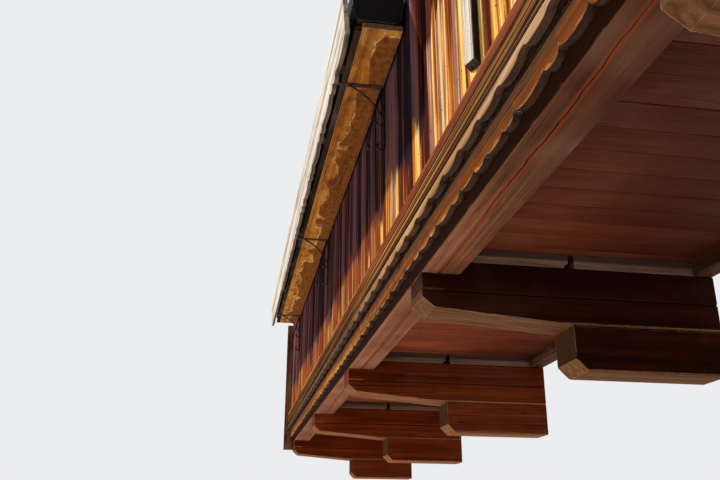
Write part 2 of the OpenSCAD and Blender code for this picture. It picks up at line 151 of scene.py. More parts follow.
class Graph:
    """A node tree that short calls fill."""

    def __init__(self, tree: bpy.types.NodeTree) -> None:
        """Starts an empty graph on a node tree."""
        self.tree = tree
        self.tree.nodes.clear()

    def add(self, kind: str, inputs: dict | None = None, **settings: object) -> bpy.types.Node:
        """Adds a node.

        Args:
            kind: The node's type, such as ShaderNodeMath.
            inputs: Values of its inputs by name or number.
            settings: Attributes of the node, set as they are.

        Returns:
            The new node.
        """
        node = self.tree.nodes.new(kind)
        for name, value in settings.items():
            setattr(node, name, value)
        for name, value in (inputs or {}).items():
            self.put(node.inputs[name], value)
        return node

    def put(self, socket: bpy.types.NodeSocket, value: Value) -> None:
        """Links a socket to a field, or sets its plain value.

        Args:
            socket: The socket that takes the value.
            value: A field, a number, a vector, or a colour, which gets full opacity.
        """
        if isinstance(value, Field):
            self.tree.links.new(value.socket, socket)
        elif socket.type == "RGBA":
            socket.default_value = (*value, 1.0)
        else:
            socket.default_value = value

    def out(self, node: bpy.types.Node, name: str | int = 0) -> Field:
        """Returns what one of a node's outputs gives."""
        return Field(self, node.outputs[name])

    def math(self, operation: str, *values: Value, clamp: bool = False) -> Field:
        """Combines numbers.

        Args:
            operation: Name of the operation, such as MAXIMUM.
            values: The numbers, one or two.
            clamp: Whether the result stays between 0 and 1.

        Returns:
            The result.
        """
        node = self.add("ShaderNodeMath", dict(enumerate(values)), operation=operation, use_clamp=clamp)
        return self.out(node)

    def vector(self, operation: str, *values: Value) -> Field:
        """Combines vectors.

        Args:
            operation: Name of the operation, such as ADD.
            values: The vectors, one or two.

        Returns:
            The vector, or the number that LENGTH and DOT_PRODUCT give.
        """
        node = self.add("ShaderNodeVectorMath", dict(enumerate(values)), operation=operation)
        return self.out(node, 1 if operation in ("LENGTH", "DOT_PRODUCT") else 0)

    def scaled(self, vector: Value, factor: Value) -> Field:
        """Returns a vector times a number."""
        return self.out(self.add("ShaderNodeVectorMath", {0: vector, "Scale": factor}, operation="SCALE"))

    def split(self, vector: Field) -> list[Field]:
        """Returns a vector's three numbers."""
        node = self.add("ShaderNodeSeparateXYZ", {0: vector})
        return [self.out(node, number) for number in range(3)]

    def join(self, *numbers: Value) -> Field:
        """Returns the vector or colour of three numbers, or of one number three times."""
        triple = numbers if len(numbers) == 3 else numbers * 3
        return self.out(self.add("ShaderNodeCombineXYZ", dict(enumerate(triple))))

    def noise(self, vector: Field, scale: float, detail: float, rough: float = 0.5) -> Field:
        """Returns a cloudy pattern between 0 and 1.

        Args:
            vector: Where the pattern is read.
            scale: Clouds to a metre.
            detail: Number of finer layers.
            rough: Strength of the finer layers.

        Returns:
            The pattern.
        """
        inputs = {"Vector": vector, "Scale": scale, "Detail": detail, "Roughness": rough}
        return self.out(self.add("ShaderNodeTexNoise", inputs), "Fac")

    def mix(self, factor: Value, first: Value, second: Value, blend: str = "MIX") -> Field:
        """Blends two colours.

        Args:
            factor: Share of the second colour.
            first: First colour.
            second: Second colour.
            blend: Way of blending, such as MULTIPLY.

        Returns:
            The colour.
        """
        inputs = {0: factor, 6: first, 7: second}
        node = self.add("ShaderNodeMix", inputs, data_type="RGBA", blend_type=blend, clamp_factor=True)
        return self.out(node, 2)

    def ramp(self, value: Field, stops: Stops) -> Field:
        """Turns a number into a colour along a row of stops.

        Args:
            value: The number, 0 to 1.
            stops: Places and colours, in order.

        Returns:
            The colour.
        """
        node = self.add("ShaderNodeValToRGB", {0: value})
        elements = node.color_ramp.elements
        while len(elements) < len(stops):
            elements.new(0.5)
        for element, (place, colour) in zip(elements, stops):
            element.position = place
            element.color = (*colour, 1.0)
        return self.out(node)

    def group(self, tree: bpy.types.NodeTree, **inputs: Value) -> list[Field]:
        """Uses a shared group.

        Args:
            tree: The group.
            inputs: Values of its inputs by name.

        Returns:
            What the group gives, in the order of its outputs.
        """
        node = self.add("ShaderNodeGroup", node_tree=tree)
        for name, value in inputs.items():
            self.put(node.inputs[name], value)
        return [Field(self, socket) for socket in node.outputs]


class Group(Graph):
    """A node group that several finishes share."""

    def __init__(self, name: str, inputs: dict[str, float | None], outputs: Sequence[str]) -> None:
        """Starts a group with its interface.

        Args:
            name: Name of the group.
            inputs: Usual value of each number that goes in, and None for a vector.
            outputs: Names of what comes out, vectors under the name Normal.
        """
        super().__init__(bpy.data.node_groups.new(name, "ShaderNodeTree"))
        for label, value in inputs.items():
            kind = "NodeSocketVector" if value is None else "NodeSocketFloat"
            socket = self.tree.interface.new_socket(name=label, in_out="INPUT", socket_type=kind)
            if value is not None:
                socket.default_value = value
        for label in outputs:
            kind = "NodeSocketVector" if label == "Normal" else "NodeSocketFloat"
            self.tree.interface.new_socket(name=label, in_out="OUTPUT", socket_type=kind)
        entry = self.add("NodeGroupInput")
        self.given = [self.out(entry, label) for label in inputs]
        self.leave = self.add("NodeGroupOutput")

    def give(self, *results: Field) -> bpy.types.NodeTree:
        """Links the results to the outputs, in order.

        Args:
            results: What the group gives.

        Returns:
            The group's tree.
        """
        for socket, result in zip(self.leave.inputs, results):
            self.put(socket, result)
        return self.tree


@cache
def timber_grain() -> bpy.types.NodeTree:
    """Builds the grain of sawn softwood, for a vector whose third number runs along the tree.

    Knots sit at random points of long cells, as ellipsoids about a centre. The grain is bent away from them
    by their offset times a bell of the distance. Streaks, fibres, rings and cracks are read at the bent
    place: broad and narrow streaks and fibres are noise drawn out along the tree, rings are a sine of the
    distance to the pith, and cracks are where a drawn-out noise passes through its middle value.

    Returns:
        The group.
    """
    names = ("Broad", "Streak", "Fibre", "Ring", "Knot", "Halo", "Crack")
    group = Group("timber_grain", {"Vector": None, "Seed": 0.0, "Knots": 0.3}, names)
    vector, seed, density = group.given
    place = group.vector("ADD", vector, group.vector("MULTIPLY", group.join(seed), (17.3, 29.1, 53.7)))

    def drawn(at: Field, paces: Triple, detail: float, rough: float = 0.5) -> Field:
        """Returns noise at a place, with its own number of clouds to a metre each way."""
        return group.noise(group.vector("MULTIPLY", at, paces), 1.0, detail, rough)

    cells = (6.5, 6.5, 1.5)
    inputs = {"Vector": group.vector("MULTIPLY", place, cells), "Scale": 1.0, "Randomness": 0.9}
    voronoi = group.add("ShaderNodeTexVoronoi", inputs)
    centre = group.vector("DIVIDE", group.out(voronoi, "Position"), cells)
    offset = group.vector("SUBTRACT", place, centre)
    distance = group.vector("LENGTH", group.vector("MULTIPLY", offset, (1.0, 1.0, 0.72)))
    size, chance, _ = group.split(group.out(voronoi, "Color"))
    there = group.math("LESS_THAN", chance, density)
    share = distance / size.span(0.0, 1.0, 0.006, 0.018)
    knot = share.fall(0.72, 1.0) * there
    halo = share.fall(0.8, 3.2) * there
    push = group.scaled(group.vector("MULTIPLY", offset, (1.0, 1.0, 0.0)), halo * -0.75)
    sway = group.noise(group.vector("MULTIPLY", place, (1.0, 1.0, 0.9)), 1.3, 1.0) - 0.5
    bent = group.vector("ADD", group.vector("ADD", place, push), group.scaled((0.022, 0.018, 0.0), sway))
    broad = drawn(bent, (23.0, 23.0, 0.45), 2.5, 0.55).rise(0.36, 0.64)
    streak = drawn(bent, (52.0, 52.0, 1.1), 3.0, 0.55)
    fibre = drawn(bent, (310.0, 310.0, 8.0), 3.0, 0.7)
    across, through, _ = group.split(bent)
    pith = group.vector("LENGTH", group.join(across + 0.043, through + 0.061, 0.0))
    ring = group.math("SINE", pith * (2 * math.pi / 0.0068) + streak * 6.0)
    line = abs(drawn(bent, (46.0, 46.0, 0.7), 1.5, 0.4) - 0.5)
    torn = drawn(place, (3.0, 3.0, 1.1), 1.0)
    crack = line.fall(0.002, 0.011) * torn.rise(0.5, 0.6)
    return group.give(broad, streak, fibre, ring * 0.5 + 0.5, knot, halo, crack)


@cache
def weather() -> bpy.types.NodeTree:
    """Builds weather marks for any place.

    Patches are broad clouds about 0.4 m wide, mottle is cloud of a few centimetres, and specks are the peaks
    of a fine cloud where a coarse one allows them.

    Returns:
        The group.
    """
    group = Group("weather", {"Vector": None}, ("Patch", "Mottle", "Speck"))
    vector = group.given[0]
    speck = group.noise(vector, 150.0, 1.0).rise(0.66, 0.74) * group.noise(vector, 9.0, 1.0).rise(0.48, 0.6)
    return group.give(group.noise(vector, 2.6, 3.0, 0.55), group.noise(vector, 31.0, 3.0, 0.6), speck)


@cache
def worn_arris() -> bpy.types.NodeTree:
    """Builds the wear and the rounding of sharp edges.

    The rounded normal is the mean of the faces within a radius; wear is how far it leans from the face's own.

    Returns:
        The group.
    """
    group = Group("arris", {"Radius": 0.003, "Breakup": 0.5}, ("Wear", "Normal"))
    radius, breakup = group.given
    rounded = group.out(group.add("ShaderNodeBevel", {"Radius": radius}, samples=4))
    own = group.out(group.add("ShaderNodeNewGeometry"), "Normal")
    lean = 1.0 - group.vector("DOT_PRODUCT", rounded, own)
    return group.give(lean.rise(0.01, 0.16) * breakup.rise(0.3, 0.62), rounded)


class Surface(Graph):
    """A material's graph, with all that the finishes read.

    x, y and z are the Object coordinates, and facing_x to facing_z are the normal's numbers. broad, streak,
    fibre, ring, knot, halo and crack come from the grain, patch, mottle and speck from the weather, and wear
    and rounded from the arrises.
    """

    LABELS = {"colour": "Base Color", "roughness": "Roughness", "sheen": "Specular IOR Level",
              "metallic": "Metallic"}

    def __init__(self, name: str, radius: float, grain: Axis = Axis.Z, fine: float = 1.0,
                 knots: float = 0.0) -> None:
        """Starts a material.

        Args:
            name: Name of the material.
            radius: Rounding of the arrises.
            grain: Direction of the grain.
            fine: How much finer than usual the grain is across the board.
            knots: Share of the cells that hold a knot.
        """
        self.material = bpy.data.materials.new(name)
        self.material.use_nodes = True
        super().__init__(self.material.node_tree)
        x, y, z = self.split(self.out(self.add("ShaderNodeTexCoord"), "Object"))
        turned = {Axis.X: (y, z, x), Axis.Y: (z, x, y), Axis.Z: (x, y, z)}[grain]
        seed = self.attribute("seed")
        self.x, self.y, self.z = x, y, z
        self.place = self.vector("MULTIPLY", self.join(*turned), (fine, fine, 1.0))
        normal = self.out(self.add("ShaderNodeNewGeometry"), "Normal")
        self.facing_x, self.facing_y, self.facing_z = self.split(normal)
        readings = self.group(timber_grain(), Vector=self.place, Seed=seed, Knots=knots)
        self.broad, self.streak, self.fibre, self.ring, self.knot, self.halo, self.crack = readings
        moved = self.vector("ADD", self.place, self.join(seed))
        self.patch, self.mottle, self.speck = self.group(weather(), Vector=moved)
        self.wear, self.rounded = self.group(worn_arris(), Radius=radius, Breakup=self.mottle)

    def attribute(self, name: str) -> Field:
        """Returns a number that the piece's vertices carry, which is 0 on a piece without it."""
        return self.out(self.add("ShaderNodeAttribute", attribute_name=name), "Fac")

    def finish(self, height: Field, strength: float, depth: float, **shades: Value) -> bpy.types.Material:
        """Adds the bump and the shader.

        Args:
            height: The bump's height, 0 to 1.
            strength: Share of the bump that shows.
            depth: Depth of the bump in metres.
            shades: The shader's colour, roughness, sheen and metallic.

        Returns:
            The material.
        """
        inputs = {"Strength": strength, "Distance": depth, "Height": height, "Normal": self.rounded}
        bumped = self.out(self.add("ShaderNodeBump", inputs))
        shader = self.add("ShaderNodeBsdfPrincipled", {"Normal": bumped})
        for name, value in shades.items():
            self.put(shader.inputs[self.LABELS[name]], value)
        self.add("ShaderNodeOutputMaterial", {"Surface": self.out(shader)})
        return self.material


# Finishes


def shaded(colour: Colour, factor: float) -> Colour:
    """Returns a colour with its three numbers times a factor."""
    return tuple(number * factor for number in colour)


@dataclass(frozen=True)
class Timber:
    """A timber finish: colours along the streaks, then knots, cracks, weather and worn edges over them."""

    name: str
    grain: Axis
    stops: Stops
    knot: Colour = (0.035, 0.014, 0.008)
    crevice: Colour = (0.012, 0.007, 0.005)
    fleck: Colour = (0.02, 0.013, 0.01)
    worn: Colour = (0.55, 0.42, 0.28)
    grey: Colour = (0.30, 0.26, 0.24)
    knots: float = 0.3
    cracks: float = 0.8
    specks: float = 0.6
    bleach: float = 0.25
    wear: float = 0.5
    ring: float = 0.25
    fibre: float = 0.35
    rough: float = 0.62
    radius: float = 0.003
    relief: float = 0.0012
    board: float = 0.42
    broad: float = 0.5
    narrow: float = 1.1
    patch: float = 0.5
    sheen: float = 0.02
    # The under fields paint the faces that look down: dark painted shade on boards, moulding, laths and
    # valances, and paler painted bounce light on the logs.
    under: Colour | None = None
    under_share: float = 0.85
    under_far: Colour = (1.0, 1.0, 1.0)
    under_tilt: Range = (-0.68, -0.50)
    kept_dark: float = 0.0
    fine: float = 1.0
    # far, near and turn tint the timber along X: painted shade towards the near end, painted bounce light
    # towards the far end.
    far: Colour = (1.0, 1.0, 1.0)
    near: Colour = (1.0, 1.0, 1.0)
    turn: Range = (1.9, 3.1)

    def tone(self, surface: Surface) -> Field:
        """Finds the place along the colour stops: the middle, moved by board, streaks and patch.

        Args:
            surface: The material's readings.

        Returns:
            The place, 0 to 1.
        """
        parts = ((surface.attribute("tone"), self.board), (surface.broad, self.broad),
                 (surface.streak, self.narrow), (surface.patch, self.patch))
        tone = 0.5
        for value, share in parts:
            tone = (value - 0.5) * share + tone
        return tone.clamped()

    def overlay(self, surface: Surface, colour: Field) -> Field:
        """Returns the colour with what is special to this finish; a plain timber adds nothing."""
        return colour

    def handled(self, surface: Surface) -> Value:
        """Returns the share of edge wear and under colour that a place gets, all of both on plain timber."""
        return 1.0

    def material(self) -> bpy.types.Material:
        """Builds the material.

        Returns:
            The material, with colour, roughness and bump from the grain.
        """
        surface = Surface(self.name, self.radius, self.grain, self.fine, self.knots)
        near = surface.x.rise(*self.turn)
        depth = (1.0 - surface.fibre.fall(0.35, 0.7) * self.fibre) * (1.0 - surface.ring * self.ring)
        # The tint along X is painted light and shade.
        colour = surface.ramp(self.tone(surface), self.stops).tinted(near.between(self.far, self.near))
        colour = colour.tinted(surface.join(depth)).toward(self.knot, surface.halo * 0.35)
        colour = colour.toward(self.grey, surface.patch.rise(0.46, 0.68) * self.bleach)
        colour = self.overlay(surface, colour)
        wear = surface.wear * self.wear * self.handled(surface)
        # Downward faces take the under colour: painted shade where it is darker, painted bounce light where
        # it is paler.
        if self.under:
            below = surface.facing_z.fall(*self.under_tilt) * self.handled(surface) * self.under_share
            dark, pale = shaded(self.under, 0.55), shaded(self.under, 1.35)
            streaked = surface.streak.rise(0.3, 0.7).between(dark, pale)
            colour = colour.toward(streaked.tinted(near.between(self.under_far, self.near)), below)
            wear = wear * (1.0 - below * self.kept_dark)
        colour = colour.toward(self.knot, surface.knot).toward(self.crevice, surface.crack * self.cracks)
        colour = colour.toward(self.worn, wear).toward(self.fleck, surface.speck * self.specks)
        height = surface.fibre * 0.30 - surface.crack + surface.ring * 0.12 + surface.knot * 0.5
        roughness = surface.fibre.span(0.3, 0.7, self.rough + 0.10, self.rough - 0.06)
        return surface.finish(height, 0.8, self.relief, colour=colour, roughness=roughness, sheen=self.sheen)


@dataclass(frozen=True)
class Cladding(Timber):
    """Sun-bleached upright boards, with a painted shadow of the flower box and its plants on the front."""

    # Most of these fields paint the flower box's shadow: its foot line, higher beyond the box's near end and
    # made ragged by the streaks; its colours shade, mauve, night and ember; a tint that darkens it further
    # where the key light reaches it; and dark painted shade on the front below the moulding's top. tan_reach
    # and tanned give the far bays their own redder colour.
    shadow_end: float = 2.035
    shadow_foot: float = 0.475
    near_shadow_foot: float = 0.75
    near_shadow_rise: Range = (2.1, 2.7)
    near_shadow_lift: float = 0.30
    ragged: float = 0.12
    board_drop: float = 0.12
    sunlit_shadow_from: Range = (2.13, 2.19)
    tan_reach: Range = (0.9, 1.75)
    face: Range = (-1.172, -1.167)
    middle: float = 0.0475
    half_run: Range = (3.530, 3.534)
    shaded_foot_band: Range = (0.14, 0.15)
    shade: Colour = (0.014, 0.007, 0.008)
    mauve: Colour = (0.135, 0.070, 0.092)
    ember: Colour = (0.25, 0.060, 0.024)
    sunlit_shadow_tint: Colour = (0.50, 0.25, 0.15)
    tanned: Colour = (0.17, 0.034, 0.012)
    night: Colour = (0.016, 0.013, 0.022)
    foot: Colour = (0.030, 0.018, 0.014)
    indoors: Colour = (0.46, 0.38, 0.36)

    def overlay(self, surface: Surface, colour: Field) -> Field:
        """Makes the far bays redder and paints the flower box's shadow on the front above a line that the
        streaks make ragged.

        The line lies at the painted shadow's foot up to the shadow's end, and higher beyond it, where the
        painted shadow of the box's near end is smaller. The painted shadow is darker still where the key
        light falls on it, and below the moulding's top the front gets painted shade. The far boards keep a
        tan between bleached streaks. The inner face is browner.

        Args:
            surface: The material's readings.
            colour: The colour so far.

        Returns:
            The colour.
        """
        own = surface.attribute("tone")
        flames = (surface.broad - 0.5) + (surface.streak - 0.5) * 1.4
        level = surface.z + flames * self.ragged - (own - 0.5) * self.board_drop
        # The painted shadow's lower line.
        line = surface.x.span(self.shadow_end, self.shadow_end + 0.012, self.shadow_foot, self.near_shadow_foot)
        above = (level - line - surface.x.rise(*self.near_shadow_rise, self.near_shadow_lift)).rise(-0.02, 0.03)
        far = (surface.x + flames * 0.5).fall(*self.tan_reach)
        colour = colour.toward(self.tanned, far * (1.0 - surface.streak.rise(0.55, 0.62) * 0.6) * 0.85)
        mixed = own * 0.45 + surface.broad * 0.3 + surface.streak * 0.6
        # dim is the painted shadow's colour: dark, mauve, blue-black and red-brown streaked.
        dim = mixed.rise(0.50, 0.86).between(self.shade, self.mauve)
        dim = dim.toward(self.night, (surface.patch * 1.2 + own).fall(0.90, 1.22, 0.8))
        dim = dim.toward(self.ember, (surface.broad * 0.12 + surface.streak).rise(0.60, 0.72, 0.8))
        # The painted shadow is darker still where the key light falls on it, beyond the box's near end.
        dim = dim.toward(dim.tinted(self.sunlit_shadow_tint), (surface.x + surface.z * 0.25).rise(*self.sunlit_shadow_from))
        in_front = surface.y.fall(*self.face) * abs(surface.x - self.middle).fall(*self.half_run)
        colour = colour.toward(colour.tinted(self.indoors), surface.facing_y.rise(0.3, 0.6))
        # The painted shadow over the front.
        colour = colour.toward(dim, above * in_front * 0.985)
        # Painted shade on the front below the moulding's top, behind moulding and lath.
        return colour.toward(self.foot, surface.z.fall(*self.shaded_foot_band) * in_front)


@dataclass(frozen=True)
class BattenTimber(Timber):
    """The batten's timber: bleached on its face, with painted shade, nearly black, on its near side and foot.
    """

    # Painted shade on the near side and foot.
    black: Colour = (0.022, 0.014, 0.016)

    def overlay(self, surface: Surface, colour: Field) -> Field:
        """Returns the colour with painted shade, nearly black, where the face looks aside or down."""
        aside = surface.math("MAXIMUM", surface.facing_x.rise(0.5, 0.9), surface.facing_z.fall(-0.6, -0.3))
        return colour.toward(self.black, aside * 0.93)


@dataclass(frozen=True)
class CeilingTimber(Timber):
    """The floor boards: painted shade towards the wall below, dark smears behind pale knots, trodden grey on
    top.
    """

    wall_shade: Colour = (0.42, 0.36, 0.34)
    wall_shade_reach: Range = (-0.9, -0.1)
    smear: Colour = (0.035, 0.016, 0.009)
    trodden: tuple[Colour, Colour] = ((0.11, 0.070, 0.048), (0.30, 0.215, 0.155))

    def overlay(self, surface: Surface, colour: Field) -> Field:
        """Paints shade on the colour towards the wall, darkens it in the halos of knots, and greys it where
        it looks up.

        Args:
            surface: The material's readings.
            colour: The colour so far.

        Returns:
            The colour.
        """
        # Painted shade towards the wall.
        colour = colour.toward(colour.tinted(self.wall_shade), surface.y.rise(*self.wall_shade_reach))
        smeared = surface.halo.rise(0.05, 0.5) * surface.mottle.rise(0.4, 0.6)
        colour = colour.toward(self.smear, smeared * 0.6)
        top = surface.streak.rise(0.35, 0.65).between(*self.trodden)
        return colour.toward(top, surface.facing_z.rise(0.5, 0.8, 0.9))


@dataclass(frozen=True)
class PackingTimber(Timber):
    """The packing planks' timber, with painted shade, nearly black, along their upper half."""

    painted_shade: Colour = (0.040, 0.024, 0.020)
    seam: Range = (0.075, 0.081)

    def overlay(self, surface: Surface, colour: Field) -> Field:
        """Returns the colour with painted shade above the seam, which the streaks fray."""
        frayed = surface.z + (surface.streak - 0.5) * 0.012
        return colour.toward(self.painted_shade, frayed.rise(*self.seam, 0.82))


@dataclass(frozen=True)
class LogTimber(Timber):
    """A lower log's timber: the cut under its nose is painted ochre as bounce light on the far logs, and dark
    as painted shade on the near ones.
    """

    # The ochre cut colour is painted bounce light; the near logs' cut gets painted shade instead.
    cut: Colour = (0.44, 0.235, 0.070)
    near_nose_shade: Colour = (0.032, 0.015, 0.008)
    nose_shade_reach: Range = (2.5, 3.3)
    front: Colour = (0.075, 0.036, 0.015)
    joint: Range = (-0.079, -0.071)

    def handled(self, surface: Surface) -> Value:
        """Returns the share of edge wear: none in the joint under the cross log, all of it further down."""
        return surface.z.fall(*self.joint)

    def overlay(self, surface: Surface, colour: Field) -> Field:
        """Paints the cut, where the face looks forwards and down at once: ochre bounce light on the far logs,
        shade on the near ones.

        Args:
            surface: The material's readings.
            colour: The colour so far.

        Returns:
            The colour.
        """
        nose = surface.facing_y.fall(-0.75, -0.4) * surface.facing_z.fall(-0.45, -0.2)
        # Painted bounce light on the far logs' cut, painted shade on the near ones'.
        nose_light_and_shade = surface.x.rise(*self.nose_shade_reach).between(self.cut, self.near_nose_shade)
        colour = colour.toward(self.front, surface.facing_y.fall(-0.97, -0.85, 0.85))
        return colour.toward(nose_light_and_shade, nose * surface.patch.span(0.3, 0.6, 0.95, 0.7))


@dataclass(frozen=True)
class CrossLogTimber(Timber):
    """A cross log's timber, worn below and painted paler there as bounce light only at its nose, as the rest
    of its underside is covered.
    """

    nose: Range = (-1.08, -1.05)

    def handled(self, surface: Surface) -> Value:
        """Returns the share of wear and under colour: all in front of the lower log's nose, none behind."""
        return surface.y.fall(*self.nose)


@dataclass(frozen=True)
class MouldingTimber(Timber):
    """The moulding's timber: red-brown along its top flat near by, with a painted golden highlight along its
    far upper edge.
    """

    foot: float = 0.146
    height: float = 0.128
    dim_reach: Range = (-1.0, 2.2)
    red_reach: Range = (1.5, 2.5)
    gold: Colour = (0.74, 0.42, 0.13)
    highlight_foot: Range = (0.250, 0.256)
    painted_shade: Colour = (0.018, 0.007, 0.004)
    # Colours by height up the moulding: the dark bands are painted shade under its members and in its quirks,
    # the golden ones painted highlights on its lit faces and edges.
    bands: Stops = (
        (0.00, (0.030, 0.011, 0.003)), (0.12, (0.035, 0.013, 0.004)), (0.155, (0.42, 0.19, 0.055)),
        (0.19, (0.36, 0.15, 0.045)), (0.215, (0.09, 0.026, 0.009)), (0.27, (0.12, 0.036, 0.013)),
        (0.30, (0.50, 0.25, 0.060)), (0.34, (0.44, 0.21, 0.050)), (0.37, (0.20, 0.085, 0.020)),
        (0.49, (0.17, 0.070, 0.017)), (0.52, (0.50, 0.24, 0.065)), (0.55, (0.42, 0.19, 0.050)),
        (0.575, (0.045, 0.012, 0.004)), (0.61, (0.27, 0.055, 0.014)), (0.88, (0.20, 0.042, 0.012)),
        (1.0, (0.26, 0.10, 0.035)))

    def overlay(self, surface: Surface, colour: Field) -> Field:
        """Lays bands of painted light and shade by height that the streaks fray, shade in the grooves and a
        golden highlight on the far upper edge.

        Args:
            surface: The material's readings.
            colour: The colour so far.

        Returns:
            The colour.
        """
        streak, patch = surface.streak - 0.5, surface.patch - 0.5
        frayed = surface.z + streak * 0.022 + patch * 0.010
        light = surface.streak.span(0.32, 0.68, 0.35, 1.6) * surface.x.span(*self.dim_reach, 0.44, 1.0)
        banded = surface.ramp((frayed - self.foot) / self.height, self.bands).tinted(surface.join(light))
        colour = colour.toward(banded, surface.patch * -0.5 + 1.05)
        near = (surface.x + surface.patch * 1.5).rise(*self.red_reach)
        # A painted highlight along the far upper edge.
        edge = (surface.z + streak * 0.06).rise(*self.highlight_foot)
        colour = colour.toward(self.gold, edge * (0.6 - near).clamped())
        # Painted shade in the grooves.
        return colour.toward(self.painted_shade, surface.attribute("hollow").rise(0.15, 0.6, 0.9))


@dataclass(frozen=True)
class LathTimber(Timber):
    """The lath's timber: cream near by, browned along the far bays, with painted shade, nearly black, where
    its foot turns aside.
    """

    golden: Colour = (0.48, 0.24, 0.065)
    golden_reach: Range = (1.3, 2.9)
    tanned: Colour = (0.085, 0.045, 0.026)
    tan_reach: Range = (0.4, 2.0)
    black: Colour = (0.016, 0.012, 0.013)

    def overlay(self, surface: Surface, colour: Field) -> Field:
        """Mixes the colour with gold and brown by the way along and by patches.

        Args:
            surface: The material's readings.
            colour: The colour so far.

        Returns:
            The colour.
        """
        way = surface.x + (surface.patch - 0.5) * 2.4
        colour = colour.toward(self.golden, way.fall(*self.golden_reach, 0.5))
        colour = colour.toward(self.tanned, way.fall(*self.tan_reach, 0.94))
        # Painted shade where the foot turns towards +X.
        return colour.toward(self.black, surface.facing_x.rise(0.25, 0.6, 0.95))


@dataclass(frozen=True)
class ValanceTimber(Timber):
    """The lower valance's timber: painted shade along its top by the cladding, the lath's painted shadow in
    brown below it, and painted sunlight in bright orange towards the lobes.
    """

    dark: Colour = (0.020, 0.009, 0.005)
    brown: Colour = (0.22, 0.100, 0.055)
    torn: tuple[Colour, Colour] = ((0.020, 0.015, 0.015), (0.20, 0.15, 0.13))
    top_shade_from: Range = (0.113, 0.119)
    sunlit_band: Range = (0.018, 0.052)

    def overlay(self, surface: Surface, colour: Field) -> Field:
        """Paints the lath's shadow in brown above a line that follows the lobes and that patches move, shade
        on the faces that look towards +X, and darker shade along its top.

        Args:
            surface: The material's readings.
            colour: The colour so far.

        Returns:
            The colour.
        """
        level = surface.attribute("over") + (surface.patch - 0.5) * 0.10 + (surface.mottle - 0.5) * 0.03
        # Brown above the line is the lath's painted shadow; below it the bright orange is painted sunlight.
        colour = colour.toward(self.brown, level.rise(*self.sunlit_band, 0.92))
        # Painted shade on the faces that look towards +X, streaked by the fibres.
        torn = surface.fibre.rise(0.42, 0.60).between(*self.torn)
        colour = colour.toward(torn, surface.facing_x.rise(0.30, 0.60))
        # Painted shade along the top, under the lath.
        return colour.toward(self.dark, surface.z.rise(*self.top_shade_from, 0.9))


@dataclass(frozen=True)
class EdgeTimber(Timber):
    """The edge beam's timber, stained along its long drying crack, with painted shade on its front."""

    crack_way: Sequence[Range] = ()
    crack_band: Range = (-1.14, -1.0)
    stain: Colour = (0.24, 0.040, 0.008)
    stain_width: float = 0.022
    stain_least: float = 0.004
    stain_top: float = 0.02
    front_shade_from: Range = (0.002, 0.005)
    front: Colour = (0.024, 0.007, 0.003)

    def overlay(self, surface: Surface, colour: Field) -> Field:
        """Stains the underside red along the crack, fading with the distance, and paints shade on the front.

        A curve node gives the crack's Y for each X, both carried onto 0 to 1.

        Args:
            surface: The material's readings.
            colour: The colour so far.

        Returns:
            The colour.
        """
        (start, _), (end, _) = self.crack_way[0], self.crack_way[-1]
        low, high = self.crack_band
        curve = surface.add("ShaderNodeFloatCurve", {"Value": (surface.x - start) / (end - start)})
        points = curve.mapping.curves[0].points
        while len(points) < len(self.crack_way):
            points.new(0.5, 0.5)
        for point, (x, y) in zip(points, self.crack_way):
            point.location = ((x - start) / (end - start), (y - low) / (high - low))
            point.handle_type = "VECTOR"
        curve.mapping.update()
        off = abs(surface.y - (surface.out(curve) * (high - low) + low))
        near = (1.0 - off / (surface.streak * self.stain_width + self.stain_least)).clamped()
        below = surface.math("LESS_THAN", surface.z, self.stain_top)
        colour = colour.toward(self.stain, near * below * 0.75)
        # Painted shade on the front face under the valance.
        return colour.toward(self.front, surface.z.rise(*self.front_shade_from, 0.98))


@dataclass(frozen=True)
class TrayTimber(Timber):
    """The tray's planks, ochre along the outer half and browner along the inner one."""

    middle: float = -1.288
    film_end: float = 1.776
    film: Colour = (0.15, 0.045, 0.012)
    pale: Colour = (0.86, 0.60, 0.26)
    cut: Colour = (0.15, 0.105, 0.075)

    def clouds(self, surface: Surface, along: float, across: float, level: float, detail: float,
               rough: float) -> Field:
        """Returns noise in the planks' plane, with its own number of clouds to a metre each way."""
        place = surface.join(surface.x * along, surface.y * across, level)
        return surface.noise(place, 1.0, detail, rough)

    def overlay(self, surface: Surface, colour: Field) -> Field:
        """Lays an aged brown film over the inner half, pale along the film's flaking border.

        The border wanders about the middle with coarse and fine clouds and turns back before the near end.
        Knots wear a pale ring, and the sawn end is dark.

        Args:
            surface: The material's readings.
            colour: The colour so far.

        Returns:
            The colour.
        """
        coarse = self.clouds(surface, 5.0, 9.0, 0.0, 1.0, 0.35)
        fine = self.clouds(surface, 26.0, 34.0, 0.0, 1.5, 0.5)
        border = surface.y + (fine - 0.5) * 0.035 + (coarse - 0.5) * 0.20 - self.middle
        inside = surface.math("MINIMUM", border, self.film_end - (surface.x + coarse * 0.12))
        flaking = fine.rise(0.46, 0.56) * surface.patch.rise(0.40, 0.56)
        rim = inside.rise(-0.024, 0.0) * inside.fall(0.0, 0.004) * flaking
        ring = abs(surface.halo - 0.72).fall(0.04, 0.12, 0.75)
        tint = fine.rise(0.3, 0.7).between(shaded(self.film, 0.6), shaded(self.film, 1.5))
        blotch = self.clouds(surface, 11.0, 16.0, 3.0, 2.0, 0.5).rise(0.46, 0.66, 0.55)
        colour = colour.toward(tint, surface.math("MAXIMUM", inside.rise(-0.002, 0.003) * 0.85, blotch))
        colour = colour.toward(self.pale, rim * 0.7).toward(self.pale, ring)
        return colour.toward(self.cut, surface.facing_x.rise(0.6, 0.9, 0.85))


